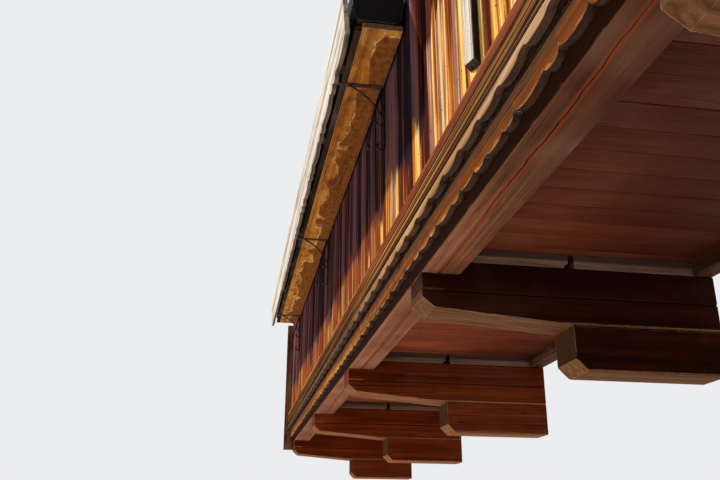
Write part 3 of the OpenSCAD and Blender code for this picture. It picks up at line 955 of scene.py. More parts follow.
@dataclass(frozen=True)
class Lacquer:
    """A dark hard finish with clouds of dust: iron or moulded plastic."""

    name: str
    colour: Colour
    dust: Colour
    metallic: float
    rough: float
    pitting: float
    wear: Colour
    radius: float = 0.002
    sheen: float = 0.5

    def material(self) -> bpy.types.Material:
        """Builds the material.

        Returns:
            The material: clouds of dust over the colour, worn edges, and a fine pitted bump.
        """
        surface = Surface(self.name, self.radius)
        dusty = (surface.mottle.rise(0.45, 0.75) * 0.55).between(self.colour, self.dust)
        pits = surface.noise(surface.place, 420.0, 3.0, 0.6)
        roughness = surface.mottle.span(0.3, 0.75, self.rough - 0.08, self.rough + 0.16)
        return surface.finish(pits, 0.5, self.pitting, colour=dusty.toward(self.wear, surface.wear * 0.8),
                              roughness=roughness, sheen=self.sheen, metallic=self.metallic)


# Surfaces


def mesh_piece(name: str, vertices: np.ndarray, faces: list, **attributes: np.ndarray) -> bpy.types.Object:
    """Makes a piece that sits at the origin and rides on the balcony; flat edges stay sharp.

    Args:
        name: Name of the piece.
        vertices: Places, n by 3.
        faces: Lists of vertex numbers.
        attributes: Numbers for each vertex by attribute name.

    Returns:
        The piece.
    """
    mesh = bpy.data.meshes.new(name)
    mesh.from_pydata(vertices.reshape(-1, 3), [], faces)
    for label, values in attributes.items():
        layer = mesh.attributes.new(label, "FLOAT", "POINT")
        layer.data.foreach_set("value", values.astype(np.float32).ravel())
    mesh.update()
    piece = bpy.data.objects.new(name, mesh)
    bpy.context.scene.collection.objects.link(piece)
    mesh.shade_smooth()
    mesh.set_sharp_from_angle(angle=math.radians(35))
    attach(piece, ROOT)
    return piece


def tube_faces(tubes: int, stations: int, profile: int) -> list:
    """Numbers the faces of closed tubes whose vertices lie on a grid of tube, station and profile point.

    Args:
        tubes: Number of tubes.
        stations: Rings along each tube.
        profile: Points of each ring, anticlockwise as seen against the run.

    Returns:
        Quads between neighbouring rings, and one polygon over each end.
    """
    grid = np.arange(tubes * stations * profile).reshape(tubes, stations, profile)
    ring, following = grid[:, :-1], grid[:, 1:]
    quads = np.stack([ring, np.roll(ring, -1, 2), np.roll(following, -1, 2), following], -1).reshape(-1, 4)
    return quads.tolist() + grid[:, 0, ::-1].tolist() + grid[:, -1].tolist()


def waves(x: np.ndarray, *terms: Triple) -> np.ndarray:
    """Returns the sum of sines of x, each given as its height, its pace and its phase."""
    return sum(height * np.sin(x * pace + phase) for height, pace, phase in terms)


def carried(x: np.ndarray, points: Sequence[tuple[np.ndarray | float, np.ndarray | float]]) -> np.ndarray:
    """Carries an outline along X.

    Args:
        x: Places of the rings.
        points: Y and Z of each outline point, each a number or one number for every ring.

    Returns:
        Places of the one tube's vertices, 1 by rings by points by 3.
    """
    rows = [np.stack([x, np.broadcast_to(y, x.shape), np.broadcast_to(z, x.shape)], -1) for y, z in points]
    return np.stack(rows, 1)[None]


def round_outline(half_u: np.ndarray, half_v: np.ndarray, arris: float, lap: float,
                  steps: int = 3) -> np.ndarray:
    """Works out the cross-section of boards: a rectangle with quarter-round arrises.

    Each corner is a quarter circle of the arris radius. The back half is wider by the lap on both sides, so
    that neighbours close up behind their open joint.

    Args:
        half_u: Half the width of each board.
        half_v: Half the thickness of each board.
        arris: Radius of the corners.
        lap: Extra half width of the back half.
        steps: Points of each corner.

    Returns:
        Places u, v of the points, boards by points by 2, anticlockwise.
    """
    turn = np.linspace(0, math.pi / 2, steps)
    cos, sin = arris * np.cos(turn), arris * np.sin(turn)
    u, corner_u, corner_v = half_u[:, None], half_u[:, None] - arris, half_v[:, None] - arris
    level = np.zeros((len(half_u), 2))
    front_left = np.stack([-corner_u - cos, -corner_v - sin], -1)
    front_right = np.stack([corner_u + sin, -corner_v - cos], -1)
    step_right = np.stack([np.hstack([u, u + lap]), level], -1)
    back_right = np.stack([corner_u + lap + cos, corner_v + sin], -1)
    back_left = np.stack([-corner_u - lap - sin, corner_v + cos], -1)
    step_left = np.stack([np.hstack([-u - lap, -u]), level], -1)
    return np.concatenate([front_left, front_right, step_right, back_right, back_left, step_left], 1)


@dataclass
class Boards:
    """Boards side by side, each a rounded outline carried along its grain with a slight bow.

    A point of a board is its middle plus u across, v through and w along it, where u and v come from the
    outline. The face's v also gets a bow, its height times one plus the sine of the way along plus the
    board's own phase.
    """

    name: str
    low: Vector
    high: Vector
    row: Axis
    grain: Axis
    face: Axis
    face_side: int
    widths: Range = (0.09, 0.15)
    gap: float = 0.003
    arris: float = 0.0022
    setback: float = 0.0015
    bow: float = 0.0008
    bow_waves: float = 0.8
    ragged: float = 0.0
    stations: int = 10
    seed: int = 1
    edges: Sequence[float] = field(default_factory=tuple)
    tones: Sequence[float] = field(default_factory=tuple)

    def cuts(self, rng: np.random.Generator) -> np.ndarray:
        """Works out the joints' places along the row: the given ones, or random widths that fill the row.

        Args:
            rng: Source of the random widths.

        Returns:
            The places, with both ends of the row.
        """
        start, end = self.low[self.row.value], self.high[self.row.value]
        if self.edges:
            return np.array([start, *self.edges, end])
        count = max(1, round((end - start) / (sum(self.widths) / 2)))
        widths = rng.uniform(*self.widths, count)
        return start + np.concatenate([[0.0], np.cumsum(widths)]) * (end - start) / widths.sum()

    def build(self) -> bpy.types.Object:
        """Makes the boards as one piece with a seed and a tone for each board.

        Returns:
            The piece.
        """
        rng = np.random.default_rng(self.seed)
        cuts = self.cuts(rng)
        count = len(cuts) - 1
        row, along, through = self.row.value, self.grain.value, self.face.value
        half_thick = np.full(count, (self.high[through] - self.low[through]) / 2)
        outline = round_outline((np.diff(cuts) - self.gap) / 2, half_thick, self.arris, self.gap / 2)
        back = rng.uniform(0, self.setback, count)
        phase = rng.uniform(0, 2 * math.pi, count)
        way = np.linspace(0, 1, self.stations)
        uv = np.repeat(outline[:, None], self.stations, 1)
        bow = self.bow * (1 + np.sin(2 * math.pi * way[None] * self.bow_waves + phase[:, None]))
        sunk = uv[..., 1] + back[:, None, None] + bow[..., None]
        depth = np.where(uv[..., 1] < 0, sunk, uv[..., 1])
        middles = (cuts[1:] + cuts[:-1]) / 2
        places = np.zeros((count, self.stations, outline.shape[1], 3))
        places[..., row] = middles[:, None, None] + uv[..., 0] * (-1 if self.mirrored() else 1)
        places[..., through] = (self.low[through] + self.high[through]) / 2 - self.face_side * depth
        starts = self.low[along] + rng.uniform(0, self.ragged, (count, 1))
        ends = self.high[along] - rng.uniform(0, self.ragged, (count, 1))
        places[..., along] = (starts + (ends - starts) * way[None])[..., None]
        seeds, tones = rng.uniform(0, 1, count), rng.uniform(0, 1, count)
        if self.tones:
            tones = np.resize(np.array(self.tones), count)
        shape = places.shape[:3]
        spread = {label: np.broadcast_to(values[:, None, None], shape)
                  for label, values in (("seed", seeds), ("tone", tones))}
        return mesh_piece(self.name, places, tube_faces(*shape), **spread)

    def mirrored(self) -> bool:
        """Tells whether the outline has to be turned over for the faces to point outwards.

        Returns:
            True where row, outward face and grain make a left-handed triple.
        """
        axes = np.zeros((3, 3))
        axes[0, self.row.value] = 1
        axes[1, self.face.value] = -self.face_side
        axes[2, self.grain.value] = 1
        return bool(np.linalg.det(axes) < 0)


def studs(name: str, centres: np.ndarray, normal: Triple, radius: float, rise: float) -> bpy.types.Object:
    """Makes nail heads, each a dome: the radius times the cosine across, the rise times the sine outwards.

    Args:
        name: Name of the piece.
        centres: Places of the nails on their face, n by 3.
        normal: Direction in which the heads stand out, at right angles to X.
        radius: Radius of a head.
        rise: Height of a head.

    Returns:
        The piece, each head a closed dome sunk a little into its board.
    """
    around = np.linspace(0, 2 * math.pi, 8, endpoint=False)[:, None]
    up = np.array([-0.6, 0.25, 0.9, 1.45])[:, None, None]
    side = np.cross(normal, [1.0, 0.0, 0.0])
    ring = np.cos(around) * side + np.sin(around) * np.cross(normal, side)
    dome = radius * np.cos(up) * ring + rise * np.sin(up) * np.array(normal)
    places = centres[:, None, None] + dome
    return mesh_piece(name, places, tube_faces(*places.shape[:3]))


# Sub-assemblies


def dress(node: str, material: bpy.types.Material) -> None:
    """Gives a CAD node's material slots their finish and reports it.

    Args:
        node: Name of the node.
        material: The finish.
    """
    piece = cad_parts[node]
    if not piece.material_slots:
        piece.data.materials.append(material)
    for entry in piece.material_slots:
        entry.material = material
    LOG.info("dressed %s in %s", node, material.name)


def stand_in(piece: bpy.types.Object, node: str, material: bpy.types.Material) -> None:
    """Lets a new piece stand for a CAD node, which it hides, and reports it.

    Args:
        piece: The new piece.
        node: Name of the node.
        material: The finish.
    """
    piece.data.materials.append(material)
    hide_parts(node)
    LOG.info("%s stands for %s, %d faces", piece.name, node, len(piece.data.polygons))


@dataclass
class Logs:
    """Stacked cross logs, lower logs and corbels at each bay."""

    count: int = 5

    def build(self) -> None:
        """Dresses the logs, the lower ones a little redder."""
        shared = dict(cracks=0.9, bleach=0.03, relief=0.002, broad=0.25, narrow=0.6, turn=(0.3, 1.5))
        # Along X the logs get painted shade towards the near end and painted bounce light towards the far
        # end; their paler undersides are painted bounce light too.
        upper = CrossLogTimber(
            "cross_log_spruce", Axis.Y,
            ((0.0, (0.070, 0.011, 0.003)), (0.45, (0.14, 0.024, 0.007)), (0.8, (0.24, 0.050, 0.015)),
             (1.0, (0.36, 0.10, 0.034))),
            wear=0.45, worn=(0.34, 0.20, 0.13), radius=0.006, near=(0.30, 0.32, 0.30), far=(1.5, 1.4, 1.0),
            under=(0.24, 0.085, 0.045), under_share=0.75, under_far=(1.5, 1.4, 1.0), **shared).material()
        lower = LogTimber(
            "lower_log_spruce", Axis.Y,
            ((0.0, (0.080, 0.013, 0.004)), (0.45, (0.16, 0.030, 0.008)), (0.8, (0.28, 0.065, 0.018)),
             (1.0, (0.40, 0.12, 0.040))),
            wear=0.9, worn=(0.62, 0.44, 0.32), radius=0.004, near=(0.34, 0.36, 0.34), far=(1.6, 1.5, 1.1),
            under=(0.54, 0.225, 0.110), under_far=(0.52, 0.50, 0.44), **shared).material()
        for number in range(1, self.count + 1):
            dress(f"cross_log_{number}", upper)
            dress(f"lower_log_{number}", lower)
            dress(f"corbel_{number}", lower)


@dataclass
class Floor:
    """Floor boards, seen from below as the ceiling, with the ledger and packing planks."""

    bays: int = 4
    widths: Range = (0.120, 0.130)
    gap: float = 0.002
    arris: float = 0.003
    setback: float = 0.0012
    bow: float = 0.0005

    def ceiling(self) -> CeilingTimber:
        """Returns the finish of the boards, dark red spruce with pale knots, painted shade towards the near
        end and painted bounce light towards the far end.
        """
        return CeilingTimber(
            "ceiling_spruce", Axis.Y,
            ((0.0, (0.070, 0.015, 0.007)), (0.4, (0.16, 0.036, 0.015)), (0.75, (0.23, 0.058, 0.024)),
             (1.0, (0.31, 0.095, 0.042))),
            knot=(0.34, 0.17, 0.06), knots=0.22, cracks=0.5, bleach=0.04, wear=0.25, ring=0.12, rough=0.60,
            board=0.3, broad=0.14, narrow=0.35, patch=0.7, sheen=0.06, worn=(0.22, 0.08, 0.04),
            near=(0.54, 0.54, 0.58), far=(1.75, 1.68, 1.75), turn=(0.6, 3.0))

    def build(self) -> None:
        """Builds the boards of each bay and dresses ledger and packing."""
        ceiling = self.ceiling().material()
        for bay in range(1, self.bays + 1):
            node = f"floor_bay_{bay}"
            boards = Boards(f"floor_boards_{bay}", *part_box(node), Axis.X, Axis.Y, Axis.Z, -1, seed=80 + bay,
                            widths=self.widths, gap=self.gap, arris=self.arris, setback=self.setback,
                            bow=self.bow, stations=6)
            stand_in(boards.build(), node, ceiling)
        dress("packing_planks", PackingTimber(
            "packing_spruce", Axis.Y,
            ((0.0, (0.14, 0.075, 0.055)), (0.5, (0.27, 0.155, 0.115)), (1.0, (0.44, 0.30, 0.23))),
            bleach=0.2, knots=0.15).material())
        dress("wall_ledger", Timber(
            "ledger_spruce", Axis.X,
            ((0.0, (0.06, 0.025, 0.015)), (0.5, (0.13, 0.055, 0.035)), (1.0, (0.24, 0.11, 0.07)))).material())


@dataclass
class Front:
    """Edge beam with its drying crack, moulded rail and the two scalloped valances.

    crack_way holds X and Y of the crack, and valance_figure each lobe's width, rise at its cusp, foot and
    power. members holds height and setback of the moulding's corners, and grooves height, depth and half
    width.
    """

    crack_way: tuple[Range, ...] = (
        (-3.485, -1.070), (-2.4, -1.082), (-1.5, -1.064), (-0.4, -1.078), (0.6, -1.068), (1.3, -1.072),
        (1.80, -1.077), (2.21, -1.082), (2.50, -1.094), (2.54, -1.089), (2.70, -1.091), (2.85, -1.088),
        (3.01, -1.091), (3.11, -1.095), (3.24, -1.100), (3.40, -1.096), (3.58, -1.092))
    crack_depth: float = 0.011
    crack_half: float = 0.0028
    chamfer: float = 0.005
    valance_start: float = 3.225
    valance_figure: tuple[tuple[float, float, float, float], ...] = (
        (0.143, 0.024, 0.006, 2.1), (0.086, 0.025, 0.001, 1.8), (0.186, 0.018, 0.001, 1.45),
        (0.086, 0.024, 0.001, 1.9), (0.118, 0.016, 0.000, 2.0), (0.024, 0.012, 0.010, 1.5),
        (0.092, 0.016, 0.000, 2.4))
    lath_pitch: float = 0.168
    lath_phase: float = 0.033
    lath_curl: float = 2.0
    lath_arch: float = 0.004
    scallop: float = 0.128
    scallop_depth: float = 0.011
    rings: int = 420
    chip_seed: int = 11
    chip_from: float = 0.7
    bead: float = 0.011
    members: tuple[Range, ...] = (
        (0.0215, 0.0070), (0.0270, 0.0070), (0.0370, 0.0035), (0.0480, 0.0), (0.0675, 0.0), (0.0685, 0.0070),
        (0.0725, 0.0070), (0.0735, 0.0), (0.1145, 0.0), (0.1280, 0.0230))
    grooves: tuple[Triple, ...] = (
        (0.0095, 0.0030, 0.0016), (0.0330, 0.0026, 0.0016), (0.0455, 0.0022, 0.0014),
        (0.0560, 0.0014, 0.0010), (0.0630, 0.0018, 0.0010), (0.0830, 0.0012, 0.0008),
        (0.0930, 0.0016, 0.0009), (0.1050, 0.0012, 0.0008))
    reed: float = 0.0011

    def beam(self) -> bpy.types.Object:
        """Makes the edge beam: its outline carried along X, with a groove below that follows the crack.

        The groove's middle is the crack's way plus a small wave of two sines, and its depth fades in and out
        along the beam as a third sine, never to nothing.

        Returns:
            The piece.
        """
        low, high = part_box("edge_beam")
        seat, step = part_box("packing_planks")[1].z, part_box("floor_bay_1")[0].y
        x = np.linspace(low.x, high.x, self.rings)
        middle = np.interp(x, *np.array(self.crack_way).T) + waves(x, (0.0016, 41, 0), (0.0009, 97, 1))
        depth = self.crack_depth * (0.72 + waves(x, (0.28, 2.3, 0.4)))
        half = self.crack_half * (0.75 + waves(x, (0.35, 5.1, 0)))
        wide, slight = self.chamfer, self.chamfer * 0.3
        places = carried(x, [
            (low.y, wide), (low.y + slight, slight), (low.y + wide, 0.0),
            (middle - half, 0.0), (middle - half * 0.25, depth),
            (middle + half * 0.25, depth), (middle + half, 0.0),
            (high.y - wide, 0.0), (high.y - slight, slight), (high.y, wide),
            (high.y, seat), (step, seat), (step, high.z), (low.y, high.z)])
        return mesh_piece("edge_beam_timber", places, tube_faces(*places.shape[:3]))

    def stations(self, low: float, high: float, cuts: np.ndarray, steps: int = 12) -> np.ndarray:
        """Works out where a scalloped board's rings stand: close together by each cusp.

        Between two cusps at a and b, the rings stand at the middle minus half the length times the cosine of
        evenly spread angles, so that steep ends get most of them.

        Args:
            low: Far end of the board.
            high: Near end of the board.
            cuts: Places of the cusps.
            steps: Rings between two cusps.

        Returns:
            The rings' places along X.
        """
        ends = np.unique(np.concatenate([[low], cuts[(cuts > low) & (cuts < high)], [high]]))
        share = (1 - np.cos(np.linspace(0, math.pi, steps, endpoint=False))) / 2
        return np.append((ends[:-1, None] + np.diff(ends)[:, None] * share[None]).ravel(), high)

    def worn_board(self, name: str, node: str, x: np.ndarray, foot: np.ndarray, arris: float,
                   chips: float) -> bpy.types.Object:
        """Makes a board on edge whose foot follows a line, with arrises that are worn and chipped.

        The arris at a place is its usual width times one plus three sines of different length, and grows to a
        chip where a coarse random row passes a limit. The foot meets the front over that width in a bevel of
        two sides, and the back in a plain one.

        Args:
            name: Name of the piece.
            node: The CAD node that gives the board's box.
            x: Places of the rings.
            foot: Height of the foot at each ring.
            arris: Usual width of the worn arris.
            chips: How much wider a chip is, in usual widths.

        Returns:
            The piece, with the height over the foot as its attribute "over".
        """
        low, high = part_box(node)
        row = np.random.default_rng(self.chip_seed).uniform(0, 1, self.rings)
        rough = np.interp(x, np.linspace(x[0], x[-1], self.rings), row)
        chip = np.clip((rough - self.chip_from) / (1 - self.chip_from), 0, 1)
        usual = arris * (1 + waves(x, (0.35, 17, 0), (0.25, 43, 1), (0.2, 101, 2)))
        wide = np.minimum(usual * (0.6 + chips * chip + 0.5 * rough), (high.y - low.y) * 0.42)
        places = carried(x, [
            (low.y, high.z), (low.y, foot + wide), (low.y + wide * 0.32, foot + wide * 0.36),
            (low.y + wide, foot), (high.y - wide * 0.6, foot), (high.y, foot + wide * 0.6), (high.y, high.z)])
        over = places[..., 2] - foot[None, :, None]
        return mesh_piece(name, places, tube_faces(*places.shape[:3]), over=over)

    def valance(self) -> bpy.types.Object:
        """Makes the lower valance: lobes of different width and hang, in a figure that is repeated.

        With u running from -1 to 1 over a lobe, the foot stands at the lobe's own foot plus its rise times
        one minus the p-th root of one minus the p-th power of u. The rise runs evenly from cusp to cusp.

        Returns:
            The piece.
        """
        low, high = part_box("lower_valance")
        widths, rises, feet, powers = np.array(self.valance_figure).T
        edges = np.concatenate([[0.0], np.cumsum(widths)])
        pitch = edges[-1]
        count = math.ceil((high.x - low.x) / pitch) + 2
        starts = self.valance_start - np.arange(-count, count + 1) * pitch
        x = self.stations(low.x, high.x, np.sort((starts[:, None] - edges[None, :-1]).ravel()))
        way = np.mod(self.valance_start - x, pitch)
        lobe = np.clip(np.searchsorted(edges[1:], way, side="right"), 0, len(widths) - 1)
        share = np.clip((way - edges[lobe]) / widths[lobe], 0, 1)
        cusp = rises[lobe] * (1 - share) + np.roll(rises, -1)[lobe] * share
        power = powers[lobe]
        bulge = 1 - np.power(np.clip(1 - np.abs(2 * share - 1) ** power, 0, 1), 1 / power)
        foot = low.z + feet[lobe] + (cusp - feet[lobe]) * bulge
        return self.worn_board("valance_scalloped", "lower_valance", x, foot, 0.0040, 1.2)

    def lath(self) -> bpy.types.Object:
        """Makes the upper valance: shallow drooping scallops between short rises.

        With u from -1 to 1 over a scallop's width, its foot stands at the depth times one minus the p-th root
        of one minus the p-th power of u; between two scallops it rises a little further as a flat arch.

        Returns:
            The piece.
        """
        low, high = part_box("upper_valance")
        pitch, half = self.lath_pitch, self.scallop / 2
        count = math.ceil((high.x - low.x) / pitch) + 2
        middles = self.lath_phase + np.arange(-count, count + 1) * pitch
        x = self.stations(low.x, high.x, np.sort(np.concatenate([middles - half, middles + half])), 9)
        off = np.abs(np.mod(x - self.lath_phase + pitch / 2, pitch) - pitch / 2)
        u = np.clip(off / half, 0, 1)
        lobe = self.scallop_depth * (1 - np.power(1 - u ** self.lath_curl, 1 / self.lath_curl))
        arch = np.clip((off - half) / (pitch / 2 - half), 0, 1)
        foot = low.z + lobe + np.where(u >= 1, self.lath_arch * (1 - (1 - arch) ** 2), 0.0)
        return self.worn_board("lath_scalloped", "upper_valance", x, foot, 0.0018, 0.3)

    def moulding(self) -> bpy.types.Object:
        """Makes the foot moulding: its members carried along X, weathered into fine reeds.

        The outline runs over bead, quirk, rising band, quirk, top flat and fall, read at even heights.
        Grooves lie in it as bells of the height about their own, which wanders along X as a slow sine; a wave
        of two sines of the height adds fine reeds where the outline stands foremost.

        Returns:
            The piece, with the grooves' depth as its attribute "hollow".
        """
        low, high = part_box("foot_moulding")
        thick, radius = high.y - low.y, self.bead
        even = np.linspace(0.0008, high.z - low.z - 0.0002, 92)
        height = np.unique(np.concatenate([even, [radius, 2 * radius]]))
        bead = radius - np.sqrt(np.clip(radius * radius - (height - radius) ** 2, 0, None))
        setback = np.where(height < 2 * radius, bead, np.interp(height, *np.array(self.members).T))
        depth = setback - thick
        depth[-1] = 0.0
        x = np.linspace(low.x, high.x, 170)[:, None]
        grooves = np.zeros((len(x), len(height)))
        for number, (level, cut, wide) in enumerate(self.grooves):
            middle = level + 0.0012 * np.sin(x * (0.9 + 0.23 * number) + number)
            strength = 0.75 + 0.25 * np.sin(x * 1.9 + 2 * number)
            grooves += cut * np.exp(-(((height[None] - middle) / wide) ** 2)) * strength
        shown = 0.7 + 0.3 * np.sin(x * 1.7 + 1) * np.sin(x * 0.63)
        reed = 0.5 - 0.5 * np.sin(height * 1450 + 0.8 * np.sin(x * 0.9)) * np.cos(height * 620 + 0.5)
        reeds = np.where(setback < 0.0005, self.reed * shown * reed, 0.0)
        y = high.y + np.minimum(depth + grooves + reeds, 0.0)
        z = np.broadcast_to(low.z + height, y.shape)
        back = np.stack([np.full_like(x, high.y), np.full_like(x, low.z + height[0])], -1)
        outline = np.concatenate([back, np.stack([y, z], -1)], 1)[:, ::-1]
        deepest = max(cut for _, cut, _ in self.grooves)
        hollow = np.concatenate([np.zeros_like(x), grooves / deepest], 1)[:, ::-1]
        places = np.concatenate([np.broadcast_to(x[..., None], (*outline.shape[:2], 1)), outline], -1)[None]
        return mesh_piece("moulding_weathered", places, tube_faces(*places.shape[:3]), hollow=hollow)

    def beam_finish(self) -> EdgeTimber:
        """Returns the finish of the edge beam, red-brown below with a pinkish grey bloom, painted shade
        towards the near end and painted bounce light towards the far end.
        """
        return EdgeTimber(
            "edge_beam_spruce", Axis.X,
            ((0.0, (0.14, 0.044, 0.020)), (0.4, (0.27, 0.100, 0.052)), (0.7, (0.37, 0.160, 0.092)),
             (1.0, (0.48, 0.24, 0.15))),
            knot=(0.12, 0.085, 0.08), knots=0.22, cracks=0.45, bleach=0.14, wear=0.10, ring=0.10, fibre=0.2,
            rough=0.66, broad=0.3, narrow=0.6, patch=0.9, sheen=0.04, grey=(0.33, 0.20, 0.16),
            worn=(0.50, 0.30, 0.20), near=(0.46, 0.44, 0.42), far=(1.25, 1.4, 1.5), crack_way=self.crack_way)

    def moulding_finish(self) -> MouldingTimber:
        """Returns the finish of the foot moulding, brown to golden in narrow streaks, with painted shade on
        its undersides.
        """
        return MouldingTimber(
            "moulding_larch", Axis.X,
            ((0.0, (0.022, 0.007, 0.003)), (0.3, (0.085, 0.025, 0.009)), (0.5, (0.22, 0.075, 0.021)),
             (0.7, (0.42, 0.175, 0.042)), (0.88, (0.62, 0.32, 0.09)), (1.0, (0.78, 0.50, 0.19))),
            knots=0.03, bleach=0.0, wear=0.25, worn=(0.50, 0.25, 0.08), radius=0.0012, rough=0.72, cracks=0.9,
            relief=0.0015, fine=3.0, narrow=1.5, patch=0.4, under=(0.060, 0.024, 0.013))

    def lath_finish(self) -> LathTimber:
        """Returns the finish of the upper valance, cream with painted shade on its underside."""
        return LathTimber(
            "lath_cream", Axis.X,
            ((0.0, (0.24, 0.11, 0.048)), (0.3, (0.54, 0.30, 0.14)), (0.55, (0.76, 0.51, 0.29)),
             (1.0, (0.90, 0.72, 0.50))),
            knots=0.02, bleach=0.0, worn=(0.90, 0.76, 0.50), radius=0.0016, rough=0.68, relief=0.0015,
            fine=1.8, broad=0.35, narrow=1.0, sheen=0.03, under=(0.062, 0.034, 0.026), under_share=0.97,
            kept_dark=0.97)

    def valance_finish(self) -> ValanceTimber:
        """Returns the finish of the lower valance, orange larch as bright as painted sunlight, with bleached
        edges and painted shade on its underside.
        """
        return ValanceTimber(
            "valance_larch", Axis.X,
            ((0.0, (0.52, 0.150, 0.032)), (0.35, (0.90, 0.330, 0.060)), (0.65, (1.0, 0.50, 0.11)),
             (1.0, (1.0, 0.74, 0.32))),
            knots=0.05, bleach=0.0, wear=1.0, worn=(0.95, 0.80, 0.58), radius=0.0045, rough=0.68,
            relief=0.002, fine=1.5, sheen=0.05, under=(0.040, 0.024, 0.020), under_share=0.97, kept_dark=0.9)

    def build(self) -> None:
        """Builds the beam, moulding and both valances."""
        stand_in(self.beam(), "edge_beam", self.beam_finish().material())
        stand_in(self.moulding(), "foot_moulding", self.moulding_finish().material())
        stand_in(self.lath(), "upper_valance", self.lath_finish().material())
        stand_in(self.valance(), "lower_valance", self.valance_finish().material())


@dataclass
class Balustrade:
    """Upright cladding boards, end and corner boards, rails, posts and the batten."""

    bays: int = 4
    nail_heights: Range = (0.395, 1.095)
    nail_radius: float = 0.0024
    nail_rise: float = 0.0016
    nail_inset: float = 0.022
    nail_sink: float = 0.0012
    near_joints: tuple[float, ...] = (
        1.835, 1.951, 2.081, 2.269, 2.39, 2.45, 2.525, 2.675, 2.80, 2.93, 3.06, 3.18, 3.30, 3.40, 3.50)
    near_tones: tuple[float, ...] = (
        0.05, 0.86, 0.12, 0.78, 0.60, 0.95, 0.36, 0.80, 0.25, 0.55, 0.7, 0.4, 0.6, 0.3, 0.5, 0.6)

    def larch(self) -> Cladding:
        """Returns the finish of the upright boards, dark red-brown to bleached cream, with painted shade on
        faces that look down.
        """
        return Cladding(
            "cladding_larch", Axis.Z,
            ((0.0, (0.070, 0.018, 0.012)), (0.18, (0.14, 0.034, 0.014)), (0.28, (0.29, 0.076, 0.025)),
             (0.38, (0.50, 0.155, 0.038)), (0.49, (0.72, 0.28, 0.060)), (0.58, (0.90, 0.46, 0.100)),
             (0.70, (1.0, 0.63, 0.17)), (0.84, (1.0, 0.80, 0.33)), (0.94, (0.62, 0.34, 0.17)),
             (1.0, (0.34, 0.155, 0.13))),
            knots=0.2, cracks=0.9, bleach=0.0, wear=0.08, ring=0.08, fibre=0.34, board=0.70, broad=0.80,
            narrow=0.5, patch=0.3, rough=0.75, sheen=0.0, fine=0.66, worn=(0.60, 0.34, 0.15), relief=0.0014,
            under=(0.030, 0.018, 0.014), under_share=0.98, kept_dark=0.98)

    def batten(self) -> BattenTimber:
        """Returns the finish of the batten, silver-grey with dark cracks."""
        return BattenTimber(
            "grey_batten", Axis.Z,
            ((0.0, (0.05, 0.030, 0.026)), (0.3, (0.20, 0.12, 0.10)), (0.5, (0.60, 0.46, 0.38)),
             (0.75, (0.85, 0.76, 0.68)), (1.0, (0.93, 0.88, 0.83))),
            knots=0.1, cracks=1.0, bleach=0.1, ring=0.2, fibre=0.5, broad=1.4, narrow=1.6,
            worn=(0.7, 0.62, 0.54), relief=0.0025)

    def nails(self, face: float, cuts: np.ndarray) -> np.ndarray:
        """Works out where a bay's nails stand: a pair in each board at each height.

        Args:
            face: Y of the boards' face.
            cuts: Places of the joints.

        Returns:
            The nails' places, n by 3.
        """
        xs = np.concatenate([cuts[:-1] + self.nail_inset, cuts[1:] - self.nail_inset])
        rows = [np.stack([xs, np.full_like(xs, face), np.full_like(xs, z)], 1) for z in self.nail_heights]
        return np.concatenate(rows)

    def build(self) -> None:
        """Builds the boards and nails, and dresses the rails and posts."""
        larch = self.larch().material()
        nails = []
        for bay in range(1, self.bays + 1):
            node = f"cladding_bay_{bay}"
            low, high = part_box(node)
            last = bay == self.bays
            boards = Boards(f"cladding_boards_{bay}", low, high, Axis.X, Axis.Z, Axis.Y, -1, seed=40 + bay,
                            edges=self.near_joints if last else (), tones=self.near_tones if last else ())
            stand_in(boards.build(), node, larch)
            nails.append(self.nails(low.y + self.nail_sink, boards.cuts(np.random.default_rng(boards.seed))))
        outward = (0.0, -1.0, 0.0)
        heads = studs("cladding_nails", np.concatenate(nails), outward, self.nail_radius, self.nail_rise)
        heads.data.materials.append(Ironwork().iron().material())
        LOG.info("cladding_nails: %d faces", len(heads.data.polygons))
        for side, end in ((-1, "left"), (1, "right")):
            node = f"end_boards_{end}"
            low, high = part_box(node)
            boards = Boards(f"end_cladding_{end}", low, high, Axis.Y, Axis.Z, Axis.X, side, seed=60 + side)
            stand_in(boards.build(), node, larch)
        dress("corner_boards", Timber(
            "corner_larch", Axis.Z,
            ((0.0, (0.06, 0.022, 0.012)), (0.45, (0.24, 0.085, 0.035)), (1.0, (0.50, 0.25, 0.11))),
            wear=0.6).material())
        dress("backing_rails", Timber(
            "rail_spruce", Axis.X,
            ((0.0, (0.09, 0.04, 0.022)), (0.5, (0.20, 0.10, 0.055)), (1.0, (0.34, 0.19, 0.11)))).material())
        dress("handrail", Timber(
            "handrail_larch", Axis.X,
            ((0.0, (0.11, 0.05, 0.03)), (0.5, (0.27, 0.15, 0.09)), (1.0, (0.46, 0.32, 0.22))),
            bleach=0.5, wear=0.7, rough=0.52).material())
        dress("posts", Timber(
            "post_spruce", Axis.Z,
            ((0.0, (0.08, 0.036, 0.02)), (0.5, (0.19, 0.095, 0.05)), (1.0, (0.33, 0.18, 0.10)))).material())
        dress("cladding_batten", self.batten().material())


